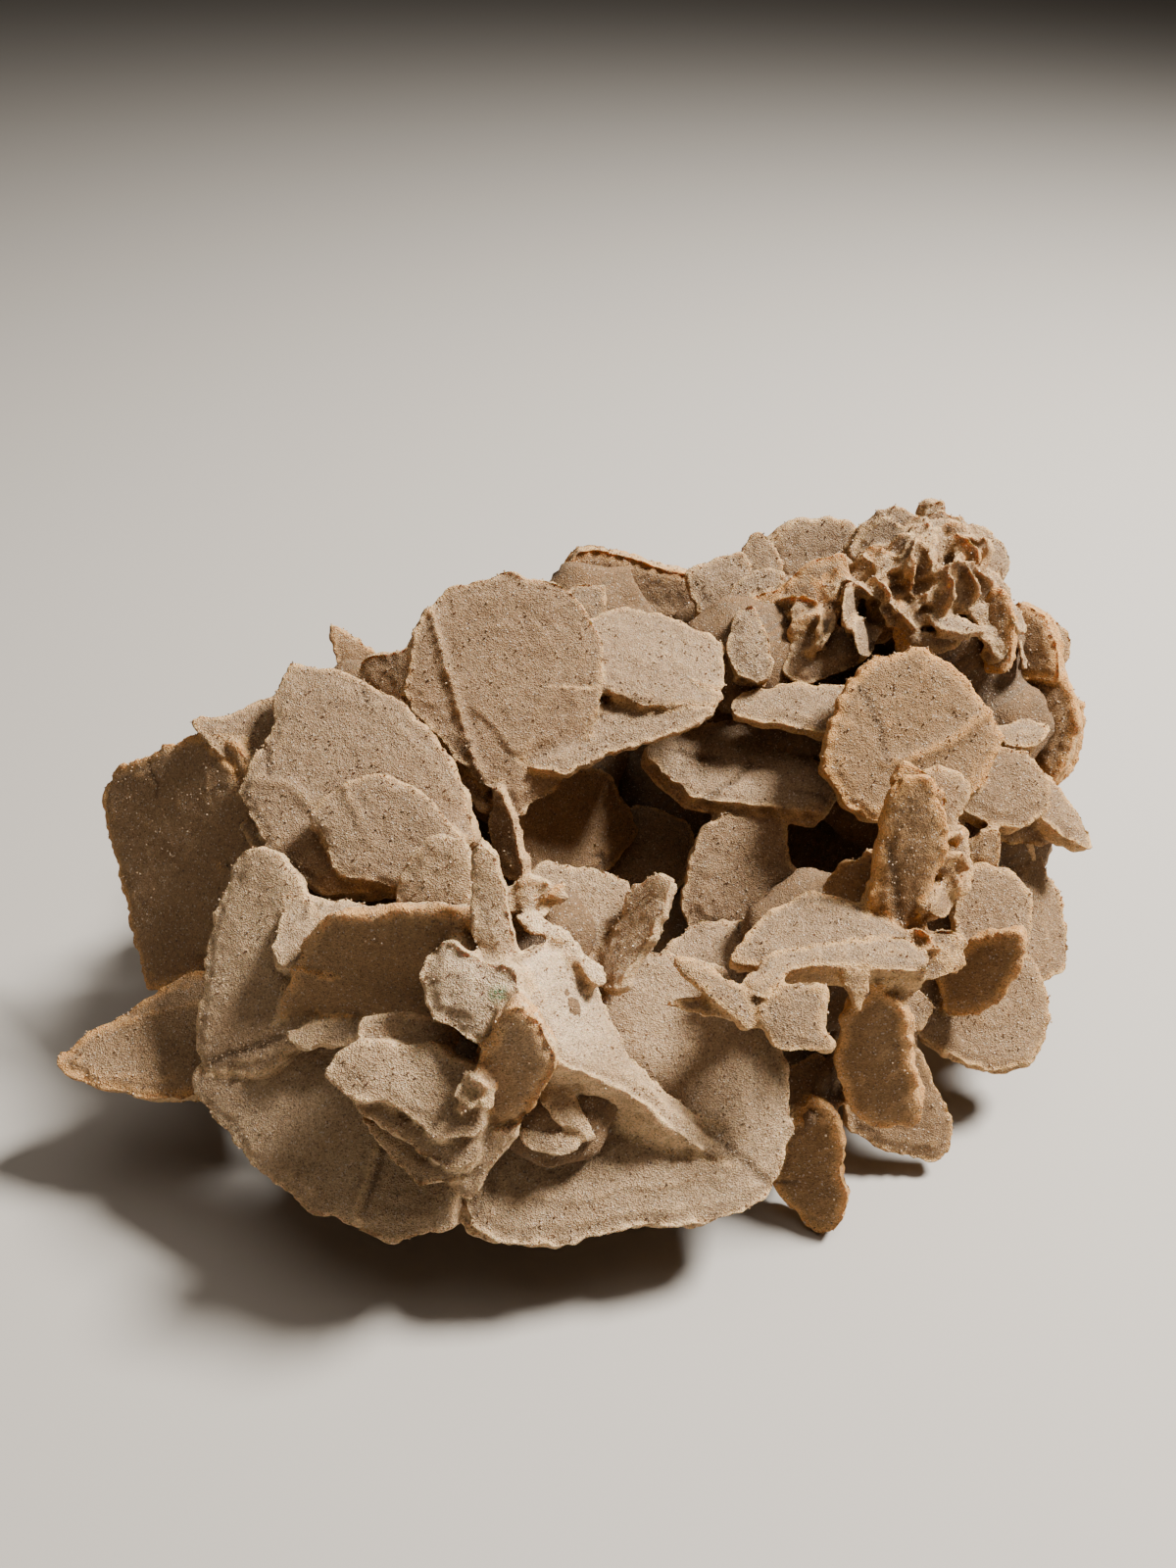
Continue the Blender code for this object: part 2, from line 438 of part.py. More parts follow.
def back_blades(chance):
    """Tiers of blades that splay to either side in turn, round the back of the rose."""
    blades = []
    for count, height, across, deep, radius, lean in BACK_TIERS:
        for index in range(count):
            share = (index + chance.uniform(*BACK_PLACE)) / count
            around = BACK_SWEEP[0] + share * (BACK_SWEEP[1] - BACK_SWEEP[0])
            angle = math.radians(around)
            at = (MIDDLE[0] + across * math.sin(angle), MIDDLE[1] + deep * math.cos(angle),
                  height + chance.uniform(-BACK_RISE, BACK_RISE))
            turn = 180 - around + (-1) ** index * chance.uniform(*BACK_SPLAY)
            lift = lean + chance.uniform(-BACK_LEAN, BACK_LEAN)
            thick = chance.uniform(*BACK_THICKNESS)
            outline = grown_outline(chance, radius * chance.uniform(*BACK_SIZE), BACK_CORNERS)
            blades.append(Blade(at, turn, lift, thick, outline))
    return blades


def crest_blades(chance):
    """Small blades that point every way at the highest corner."""
    blades = []
    for _ in range(CREST_SMALL):
        at = [middle + spread * chance.uniform(-1, 1)
              for middle, spread in zip(CREST_MIDDLE, CREST_SPREAD)]
        turn, lift = chance.uniform(*CREST_TURN), chance.uniform(*CREST_LIFT)
        outline = grown_outline(chance, CREST_RADIUS, CREST_CORNERS)
        blades.append(Blade(at, turn, lift, CREST_THICKNESS, outline))
    return blades


def foot_blades(chance):
    """A ring of upright blades that carries the rose."""
    blades = []
    for index in range(FEET):
        angle = math.tau * (index + chance.uniform(-FOOT_PLACE, FOOT_PLACE)) / FEET
        at = (MIDDLE[0] + FOOT_SPREAD[0] * math.cos(angle),
              MIDDLE[1] + FOOT_SPREAD[1] * math.sin(angle), FOOT_HEIGHT)
        turn = math.degrees(angle) + 90 + chance.uniform(-FOOT_TURN, FOOT_TURN)
        lift = chance.uniform(-FOOT_LEAN, FOOT_LEAN)
        outline = grown_outline(chance, FOOT_RADIUS, FOOT_CORNERS)
        blades.append(Blade(at, turn, lift, FOOT_THICKNESS, outline))
    return blades


# ---- Joining the blades into one solid -------------------------------------------------------

def object_from(name, mesh):
    """A new object that takes over a bmesh, with its faces pointing outwards."""
    bmesh.ops.recalc_face_normals(mesh, faces=mesh.faces)
    data = bpy.data.meshes.new(name)
    mesh.to_mesh(data)
    mesh.free()
    result = bpy.data.objects.new(name, data)
    bpy.context.scene.collection.objects.link(result)
    return result


def blade_object(name, blade):
    mesh = bmesh.new()
    add_blade(mesh, blade)
    return object_from(name, mesh)


def lump_objects():
    objects = []
    for index, lump in enumerate(MATRIX):
        mesh = bmesh.new()
        add_lump(mesh, *lump)
        objects.append(object_from(f"lump_{index}", mesh))
    return objects


def apply_boolean(target, operation, others):
    """Joins to the target, or cuts from it, every other object, and removes those."""
    group = bpy.data.collections.new("operands")
    bpy.context.scene.collection.children.link(group)
    for other in others:
        group.objects.link(other)
    boolean = target.modifiers.new("joined", "BOOLEAN")
    boolean.operation = operation
    boolean.solver = "EXACT"
    boolean.operand_type = "COLLECTION"
    boolean.collection = group
    depsgraph = bpy.context.evaluated_depsgraph_get()
    data = bpy.data.meshes.new_from_object(target.evaluated_get(depsgraph))
    target.modifiers.clear()
    target.data = data
    for other in others:
        bpy.data.objects.remove(other)
    bpy.data.collections.remove(group)


def ground_block():
    """A block whose top is the ground, to cut off what the rose stands on."""
    mesh = bmesh.new()
    bmesh.ops.create_cube(mesh, size=1.0)
    for vertex in mesh.verts:
        vertex.co = Vector((vertex.co.x * GROUND_SIDE, vertex.co.y * GROUND_SIDE,
                            (vertex.co.z - 0.5) * GROUND_DEPTH)) * MM
    return object_from("ground_block", mesh)


def shells(mesh):
    """The separate closed surfaces of a mesh, each as its list of faces."""
    unseen = set(mesh.faces)
    result = []
    while unseen:
        shell = [unseen.pop()]
        for face in shell:
            for edge in face.edges:
                fresh = unseen.intersection(edge.link_faces)
                unseen.difference_update(fresh)
                shell.extend(fresh)
        result.append(shell)
    return result


def encloses_material(shell):
    """True for an outer surface, whose faces look away from what they enclose."""
    volume = 0.0
    for face in shell:
        first, second, third = (vertex.co for vertex in face.verts)
        volume += first.dot(second.cross(third))
    return volume > 0.0


def keep_the_outside(rose):
    """Removes the surfaces of pockets sealed inside, sets the middle of the box over x = y = 0."""
    mesh = bmesh.new()
    mesh.from_mesh(rose.data)
    bmesh.ops.triangulate(mesh, faces=mesh.faces)
    pockets = []
    bodies = 0
    for shell in shells(mesh):
        if encloses_material(shell):
            bodies += 1
        else:
            pockets += shell
    if bodies != 1:
        raise ValueError(f"the blades make {bodies} bodies, and they should make one")
    bmesh.ops.delete(mesh, geom=pockets, context="FACES")
    for vertex in mesh.verts:
        vertex.co -= Vector((*BOX_MIDDLE, 0.0)) * MM
    mesh.to_mesh(rose.data)
    mesh.free()


# ---- Material --------------------------------------------------------------------------------

def sandy_gypsum():
    material = bpy.data.materials.new("sandy_gypsum")
    material.use_nodes = True
    shader = material.node_tree.nodes["Principled BSDF"]
    shader.inputs["Base Color"].default_value = (0.52, 0.38, 0.24, 1.0)
    shader.inputs["Roughness"].default_value = 0.9
    shader.inputs["Metallic"].default_value = 0.0
    return material


# ---- The whole rose --------------------------------------------------------------------------

def build():
    for old in list(bpy.data.objects):
        bpy.data.objects.remove(old)
    chance = random.Random(SEED)
    blades = (FRONT_ROSETTE + LEFT_BLADES + MIDDLE_BLADES + RIGHT_ROSETTE + RIGHT_BACK_BLADES
              + CREST_BLADES + crest_blades(chance) + back_blades(chance) + foot_blades(chance))
    rose = blade_object("sand_rose", blades[0])
    crossing = [blade_object(f"blade_{index}", blade) for index, blade in enumerate(blades[1:])]
    apply_boolean(rose, "UNION", crossing + lump_objects())
    apply_boolean(rose, "DIFFERENCE", [ground_block()])
    keep_the_outside(rose)
    rose.data.materials.clear()
    rose.data.materials.append(sandy_gypsum())
    return rose


build()
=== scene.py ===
import math
import random
from collections import namedtuple

import bmesh
import bpy
import numpy as np
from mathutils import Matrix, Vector


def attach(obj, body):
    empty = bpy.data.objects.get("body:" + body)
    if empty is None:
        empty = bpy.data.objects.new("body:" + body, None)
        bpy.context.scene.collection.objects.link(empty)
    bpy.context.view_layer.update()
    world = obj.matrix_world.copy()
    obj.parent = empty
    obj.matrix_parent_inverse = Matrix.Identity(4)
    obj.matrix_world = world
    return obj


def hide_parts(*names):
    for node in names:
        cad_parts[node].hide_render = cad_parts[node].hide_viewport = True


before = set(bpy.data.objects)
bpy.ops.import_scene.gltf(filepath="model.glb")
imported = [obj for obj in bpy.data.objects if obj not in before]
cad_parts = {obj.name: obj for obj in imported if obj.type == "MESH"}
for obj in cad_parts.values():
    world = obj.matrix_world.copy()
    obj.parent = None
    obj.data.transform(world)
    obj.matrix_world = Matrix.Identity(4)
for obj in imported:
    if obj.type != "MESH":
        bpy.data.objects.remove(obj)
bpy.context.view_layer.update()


# ---- The sandy core --------------------------------------
# Lumps of sand set hard by gypsum, which all the blades grew out of. They show only as dark
# crumbly ground in the gaps between the blades: dark sand, darkened further as painted shade.

MM = 0.001
BOX_MIDDLE = np.array((4.9, 7.6, 0.0))     # the rose's middle, seen in the blades' own places
CORE_CELL = 2.6                            # the distance between points of the core's surface
LUMP_SIDES = 7
LUMP_RIM = 0.15                            # half a lump's rim, as a share of its thickness

# A blade: the middle of its outline, the way its face looks (turn from the front towards the
# right, lift upwards), its thickness at the foot, its outline as (right, up-slope) points, and
# the share of its thickness left at the rim. Everything is in millimetres and degrees.
Blade = namedtuple("Blade", "at turn lift thick outline rim", defaults=(0.5,))

# The lumps: middle, turn, lift, thickness and radius.
CORE_LUMPS = [
    # Under the front rosette and inside its knot.
    ((-22, -46, 54), -5, 45, 32, 30),
    ((-38, -62, 48), -5, 48, 26, 20),
    ((-8, -72, 54), 5, 50, 22, 17),
    ((-17, -64, 80), 0, 50, 24, 16),
    ((-10, -42, 84), 5, 50, 20, 14),
    ((-10, -28, 34), 0, 70, 34, 34),
    ((-34, -36, 84), -5, 45, 18, 14),
    # Behind the blades on the left.
    ((-72, -12, 76), -20, 45, 30, 30),
    ((-54, -18, 96), -8, 46, 18, 14),
    ((-88, -30, 48), -15, 45, 24, 24),
    ((-82, 0, 54), -20, 60, 34, 32),
    ((-100, 12, 58), -35, 30, 26, 27),
    ((-92, 28, 88), 0, 45, 20, 16),
    ((-72, 62, 74), 10, 40, 28, 25),
    ((-70, 24, 38), 0, 80, 40, 38),
    ((-34, 56, 36), 0, 80, 36, 32),
    # Behind the tall disc, and the floor of the hollow.
    ((-20, 54, 88), 95, 10, 9, 36),
    ((-16, 52, 70), 5, 40, 30, 30),
    ((14, 14, 28), 0, 80, 30, 36),
    ((24, 44, 28), 0, 80, 30, 36),
    # Under the shelf and behind the blades on the right.
    ((66, -22, 58), 0, 55, 30, 24),
    ((74, -30, 36), 5, 40, 22, 24),
    ((66, -50, 28), 62, 0, 8, 18),
    ((102, -6, 46), 12, 40, 24, 28),
    ((85, 30, 40), 0, 80, 40, 36),
    ((126, 22, 66), 20, 40, 22, 20),
    ((94, 42, 88), 95, 15, 8, 26),
    ((92, 36, 76), 5, 40, 26, 26),
    ((66, 42, 88), 0, 50, 26, 20),
    ((130, 62, 90), -10, 30, 22, 22),
    ((138, 66, 86), 30, 30, 22, 20),
    ((120, 52, 64), 10, 30, 34, 27),
    ((130, 46, 88), -10, 45, 18, 15),
    # Under the crest and the slab.
    ((114, 62, 108), 5, 40, 28, 22),
    ((104, 74, 116), 5, 55, 30, 22),
    ((98, 80, 96), 10, 50, 36, 29),
    ((47, 54, 108), 0, 40, 30, 19),
    ((1, 70, 108), 15, 25, 28, 22),
    ((55, 80, 92), 5, 40, 34, 30),
    ((15, 72, 46), 0, 80, 46, 40),
]


def axes_of(turn, lift):
    """A blade's own right, up-slope and outward directions."""
    around, above = math.radians(turn), math.radians(lift)
    right = Vector((math.cos(around), math.sin(around), 0.0))
    out = Vector((math.sin(around) * math.cos(above), -math.cos(around) * math.cos(above),
                  math.sin(above)))
    return np.array(right), np.array(out.cross(right)), np.array(out)


def lump_shell(at, turn, lift, thick, radius):
    """A seven-sided lump with a blunt rim and a peak on either side."""
    right, up, out = axes_of(turn, lift)
    at = np.array(at, float)
    angles = np.arange(LUMP_SIDES)[:, None] / LUMP_SIDES * math.tau
    ring = at + radius * (np.cos(angles) * right + np.sin(angles) * up)
    points = [*(ring + out * thick * LUMP_RIM), *(ring - out * thick * LUMP_RIM),
              at + out * thick / 2, at - out * thick / 2]
    front_peak, back_peak = 2 * LUMP_SIDES, 2 * LUMP_SIDES + 1
    faces = []
    for index in range(LUMP_SIDES):
        after = (index + 1) % LUMP_SIDES
        faces += [(index, after, front_peak),
                  (after + LUMP_SIDES, index + LUMP_SIDES, back_peak),
                  (after, index, index + LUMP_SIDES, after + LUMP_SIDES)]
    return points, faces


def eased(share):
    return share * share * (3 - 2 * share)


def lattice_noise(points, size, seed):
    """Smooth random values from -1 to 1 all through space, with features `size` wide."""
    repeat, shift = 32, 500.0
    table = np.random.default_rng(seed).uniform(-1, 1, (repeat, repeat, repeat))
    cell = np.asarray(points) / size + shift
    base = np.floor(cell).astype(int)
    part = eased(cell - base)
    total = np.zeros(len(cell))
    for corner in range(8):
        step = np.array((corner & 1, corner >> 1 & 1, corner >> 2 & 1))
        weight = np.prod(np.where(step == 1, part, 1 - part), axis=1)
        place = (base + step) % repeat
        total += weight * table[place[:, 0], place[:, 1], place[:, 2]]
    return total


def placed(name, data):
    """A new object in the scene."""
    thing = bpy.data.objects.new(name, data)
    bpy.context.scene.collection.objects.link(thing)
    return thing


def grown_together(name, shells, cell):
    """One closed surface round all the shells, cut flat at the ground, in small even cells."""
    mesh = bmesh.new()
    for points, faces in shells:
        corners = [mesh.verts.new(Vector(point) * MM) for point in points]
        for face in faces:
            mesh.faces.new([corners[index] for index in face])
    everything = [*mesh.verts, *mesh.edges, *mesh.faces]
    bmesh.ops.bisect_plane(mesh, geom=everything, plane_co=(0, 0, 0), plane_no=(0, 0, 1),
                           clear_inner=True)
    bmesh.ops.holes_fill(mesh, edges=[edge for edge in mesh.edges if edge.is_boundary])
    bmesh.ops.recalc_face_normals(mesh, faces=mesh.faces)
    data = bpy.data.meshes.new(name)
    mesh.to_mesh(data)
    mesh.free()
    piece = placed(name, data)
    joined = piece.modifiers.new("joined", "REMESH")
    joined.mode = "VOXEL"
    joined.voxel_size = cell * MM
    depsgraph = bpy.context.evaluated_depsgraph_get()
    piece.data = bpy.data.meshes.new_from_object(piece.evaluated_get(depsgraph))
    piece.modifiers.clear()
    return piece


def read_surface(piece):
    """The surface's points and normals, in millimetres among the blades' own places."""
    data = piece.data
    points = np.empty(len(data.vertices) * 3)
    data.vertices.foreach_get("co", points)
    normals = np.empty(len(data.vertices) * 3)
    data.vertices.foreach_get("normal", normals)
    return points.reshape(-1, 3) / MM, normals.reshape(-1, 3)


def write_surface(piece, points):
    """Puts the points back, with nothing below the ground."""
    points = points.copy()
    points[:, 2] = np.maximum(points[:, 2], 0.0)
    piece.data.vertices.foreach_set("co", (points * MM).ravel())
    piece.data.update()


def neighbour_mean(piece):
    """A function that gives each point the mean of its neighbours' values."""
    data = piece.data
    ends = np.empty(len(data.edges) * 2, dtype=np.int32)
    data.edges.foreach_get("vertices", ends)
    first, second = ends.reshape(-1, 2).T
    count = len(data.vertices)
    links = np.bincount(first, minlength=count) + np.bincount(second, minlength=count)

    def mean(values):
        total = (np.bincount(first, values[second], count)
                 + np.bincount(second, values[first], count))
        return total / np.maximum(links, 1)

    return mean


def inner_bend(piece, mean):
    """The mean of each point's neighbours, and how far it stands out of the surface there."""
    points, normals = read_surface(piece)
    around = np.stack([mean(points[:, axis]) for axis in range(3)], axis=1)
    return points, around, np.sum((around - points) * normals, axis=1)


def fill_joints(piece, rounds, place=(0, 0, 0), reach=1e9):
    """Fills the sharp inner corners round a place where blades meet, as sand and gypsum do."""
    sharpness, filled, fade = 12, 0.8, 3
    mean = neighbour_mean(piece)
    for _ in range(rounds):
        points, around, bend = inner_bend(piece, mean)
        far = np.linalg.norm(points - np.array(place), axis=1) / reach
        share = np.clip(bend * sharpness, 0, 1)
        share = np.maximum(share, mean(share)) * filled * np.clip(fade - fade * far, 0, 1)
        write_surface(piece, points + (around - points) * share[:, None])


def crumble(piece, strength):
    """Waves, dents and grit, from wide and shallow to as small as a grain."""
    points, normals = read_surface(piece)
    rim = np.empty(len(points), dtype=np.float32)
    piece.data.attributes["rim"].data.foreach_get("value", rim)
    height = 0.4 * lattice_noise(points, 17.0, 170)
    for size, depth in ((6.0, 0.22), (2.6, 0.16), (1.7, 0.16)):
        height += depth * (1 + 1.3 * rim) * lattice_noise(points, size, int(size * 10))
    height *= strength * np.clip(points[:, 2] / 2.0, 0, 1)
    write_surface(piece, points + normals * height[:, None])


def store(piece, name, values):
    layer = piece.data.attributes.new(name, "FLOAT", "POINT")
    layer.data.foreach_set("value", np.asarray(values, dtype=np.float32))


def mark_hollows(piece, cracks=0.0):
    """Stores how deep each point lies in a crease (above nought) or out on an edge (below)."""
    rounds, gain = 4, 8.0
    mean = neighbour_mean(piece)
    _, _, bend = inner_bend(piece, mean)
    for _ in range(rounds):
        bend = mean(bend)
    store(piece, "hollow", np.clip(bend * gain + cracks, -1, 1))


def sand_node(tree, kind, settings=(), **inputs):
    """A node with its inputs set to numbers or linked; _2 means the input with number 2."""
    node = tree.nodes.new(kind)
    for name, value in settings:
        setattr(node, name, value)
    for name, value in inputs.items():
        socket = node.inputs[int(name[1:])] if name[0] == "_" else node.inputs[name]
        if isinstance(value, bpy.types.NodeSocket):
            tree.links.new(value, socket)
        else:
            socket.default_value = value
    return node


# The colours of the sand in and on the gypsum: dull old sand, pale dust, the bleached knot, an
# amber painted glow where a rim is clear, painted shade in the creases and cracks, and painted
# shade deep between the blades.
DULL_SAND = (0.36, 0.255, 0.16, 1.0)
PALE_DUST = (0.46, 0.34, 0.22, 1.0)
BLEACHED_SAND = (0.85, 0.625, 0.40, 1.0)
AMBER_GLOW = (0.74, 0.36, 0.115, 1.0)
CREASE_SHADE = (0.13, 0.08, 0.045, 1.0)
OCCLUDED_SHADE = (0.36, 0.27, 0.20, 1.0)
DARK_GRAIN = (0.10, 0.065, 0.045, 1.0)
PALE_GRAIN = (0.88, 0.76, 0.60, 1.0)
GREEN_FLECK = (0.17, 0.36, 0.17, 1.0)
GRAIN_SIZE = 0.36


# `rim` is the colour painted at rims and edges: a painted highlight and a painted glow of light
# through the thin gypsum, over its own clearer colour.
def sandy_gypsum(name, lit, deep, clear, rim, fleck=None):
    """Gypsum full of sand: blotched, grainy, dusty above, clearer and warmer at thin rims, with a
    painted glow and highlight there, and painted shade in creases and deep between the blades.
    """
    material = bpy.data.materials.new(name)
    material.use_nodes = True
    tree = material.node_tree
    tree.nodes.clear()
    place = tree.nodes.new("ShaderNodeTexCoord").outputs["Object"]

    def noise(size, detail=2.0, rough=0.55):
        return sand_node(tree, "ShaderNodeTexNoise", Vector=place, Scale=1 / (size * MM),
                         Detail=detail, Roughness=rough).outputs["Fac"]

    def blend(amount, first, second, how="MIX"):
        return sand_node(tree, "ShaderNodeMix", (("data_type", "RGBA"), ("blend_type", how)),
                         _0=amount, _6=first, _7=second).outputs[2]

    def spread(value, low, high, to_low=0.0, to_high=1.0):
        return sand_node(tree, "ShaderNodeMapRange", _0=value, _1=low, _2=high, _3=to_low,
                         _4=to_high).outputs["Result"]

    def sums(operation, first, second):
        return sand_node(tree, "ShaderNodeMath", (("operation", operation),),
                         _0=first, _1=second).outputs[0]

    def stored(layer):
        return sand_node(tree, "ShaderNodeAttribute",
                         (("attribute_name", layer),)).outputs["Fac"]

    # Blotches of paler and darker sand, then the warm or dusty tone of each blade; the darker warm
    # tone of clear blades is painted shade where such a blade stands in shadow.
    blotch = spread(sums("ADD", noise(18.0, 4.0), sums("MULTIPLY", noise(4.0, 3.0), 0.5)),
                    0.55, 0.95)
    colour = blend(blotch, (*deep, 1.0), (*lit, 1.0))
    tone = stored("tone")
    colour = blend(spread(tone, 0.0, 1.0, 0.0, 0.8), colour, (*clear, 1.0))
    colour = blend(spread(tone, -1.0, 0.0, 0.5, 0.0), colour, DULL_SAND)
    # Pale dust on what faces up. At the rims and edges, clearer warmer gypsum under a painted
    # highlight and a painted glow of light through the thin gypsum; painted shade in the creases.
    facing = tree.nodes.new("ShaderNodeNewGeometry").outputs["Normal"]
    height = sand_node(tree, "ShaderNodeSeparateXYZ", Vector=facing).outputs["Z"]
    colour = blend(spread(height, 0.3, 0.95, 0.0, 0.25), colour, PALE_DUST)
    bleached = sums("MULTIPLY", stored("pale"), spread(height, 0.3, 0.9, 0.1, 0.85))
    colour = blend(bleached, colour, BLEACHED_SAND)
    # Painted highlight on the edges that stand out, and painted glow at the thin rims.
    edge_highlight = spread(stored("hollow"), -0.5, -0.05, 1.0, 0.0)
    edge = sums("MULTIPLY", sums("MAXIMUM", stored("rim"), edge_highlight),
                spread(noise(5.0, 2.0), 0.3, 0.6, 0.4, 1.0))
    colour = blend(sums("MULTIPLY", edge, 0.85), colour, (*rim, 1.0))
    # The amber painted glow is strongest at the rims of the clear blades.
    amber_glow = sums("MULTIPLY", edge, spread(tone, 0.3, 1.0, 0.0, 0.8))
    colour = blend(amber_glow, colour, AMBER_GLOW)
    # Painted shade in the creases and in the cracks.
    hollow = spread(stored("hollow"), 0.06, 0.7, 0.0, 0.6)
    colour = blend(hollow, colour, CREASE_SHADE)
    if fleck:
        gap = sand_node(tree, "ShaderNodeVectorMath", (("operation", "DISTANCE"),),
                        _0=place, _1=(np.array(fleck) - BOX_MIDDLE) * MM)
        green = sums("MULTIPLY", spread(gap.outputs["Value"], 1.0 * MM, 2.8 * MM, 0.85, 0.0),
                     spread(noise(1.1, 2.0), 0.35, 0.6))
        colour = blend(green, colour, GREEN_FLECK)
    # Painted shade deep between the blades, where little light reaches.
    occluded = sand_node(tree, "ShaderNodeAmbientOcclusion", (("samples", 4),), Distance=16 * MM)
    painted_shade = spread(occluded.outputs["AO"], 0.15, 0.75, 0.62, 0.0)
    colour = blend(painted_shade, colour, blend(1.0, colour, OCCLUDED_SHADE, "MULTIPLY"))
    # Single grains: most a little lighter or darker, a few nearly black or white.
    grain = sand_node(tree, "ShaderNodeTexVoronoi", Vector=place, Scale=1 / (GRAIN_SIZE * MM))
    value = sand_node(tree, "ShaderNodeSeparateColor", Color=grain.outputs["Color"])
    shade = spread(value.outputs["Red"], 0.0, 1.0, 0.72, 1.24)
    colour = blend(1.0, colour, shade, "MULTIPLY")
    dark = sums("GREATER_THAN", value.outputs["Green"], 0.92)
    colour = blend(sums("MULTIPLY", dark, 0.6), colour, DARK_GRAIN)
    pale = sums("GREATER_THAN", value.outputs["Blue"], 0.97)
    colour = blend(sums("MULTIPLY", pale, 0.42), colour, PALE_GRAIN)

    # Rough all over, with a glint where a grain is a clear crystal.
    glint = spread(pale, 0.0, 1.0, 0.9, 0.35)
    pits = sums("ADD", sums("MULTIPLY", grain.outputs["Distance"], 0.8),
                sums("ADD", sums("MULTIPLY", noise(0.9, 3.0, 0.7), 1.0),
                     sums("MULTIPLY", noise(2.6, 3.0, 0.6), 1.6)))
    bump = sand_node(tree, "ShaderNodeBump", Strength=1.0, Distance=0.5 * MM, Height=pits)
    shader = sand_node(tree, "ShaderNodeBsdfPrincipled", Normal=bump.outputs["Normal"],
                       Roughness=glint, _0=colour)
    shader.inputs["Specular IOR Level"].default_value = 0.3
    shader.inputs["Subsurface Weight"].default_value = 0.2
    shader.inputs["Subsurface Radius"].default_value = (1.0, 0.42, 0.16)
    shader.inputs["Subsurface Scale"].default_value = 2.5 * MM
    output = tree.nodes.new("ShaderNodeOutputMaterial")
    tree.links.new(shader.outputs["BSDF"], output.inputs["Surface"])
    return material


def finish_piece(piece, material):
    """Moves the piece to its place in the rose and gives it its material and its body."""
    points, _ = read_surface(piece)
    write_surface(piece, points - BOX_MIDDLE)
    piece.data.materials.clear()
    piece.data.materials.append(material)
    piece.data.polygons.foreach_set("use_smooth", [True] * len(piece.data.polygons))
    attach(piece, "root")
    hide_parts("sand_rose")


core = grown_together("sandy_core", [lump_shell(*lump) for lump in CORE_LUMPS], CORE_CELL)
for layer in ("rim", "tone", "pale"):
    store(core, layer, np.zeros(len(core.data.vertices)))
CORE_ROUGHNESS = 2.5                       # times as rough as a blade
crumble(core, CORE_ROUGHNESS)
mark_hollows(core)
# The core's very dark colours are dark sand and painted shade of the deep gaps it fills.
finish_piece(core, sandy_gypsum("sand_and_painted_shade_between_the_blades", (0.22, 0.145, 0.085),
                                (0.15, 0.095, 0.055), (0.20, 0.12, 0.06), (0.26, 0.15, 0.07)))


# ---- The front rosette -----------------------------------
# The big discs low at the front and the knot of short crystals where they meet. They are gypsum
# that grew in wet sand: each blade is built up in thin layers towards its rim and is grown fast
# into its neighbours where it crosses them.

BLADE_CELL = 0.88                          # the distance between points of a blade's surface
EDGE_STEP = 0.9                            # the distance between points of a blade's edge
LONG_SIDE = 28.0                           # a side longer than this bows outwards
BOW = 0.0625                               # how much it bows
LOBES, TEETH, GRIT = (9, 1.0), (3.5, 0.5), (1.7, 0.36)   # length and height along an edge
SHARP_CUT = 0.7                            # blades with a rim over this share are cut, not worn
HUB, HUB_SIZE = (-12, -64, 92), (30, 26, 24)             # the knot that the sun has bleached

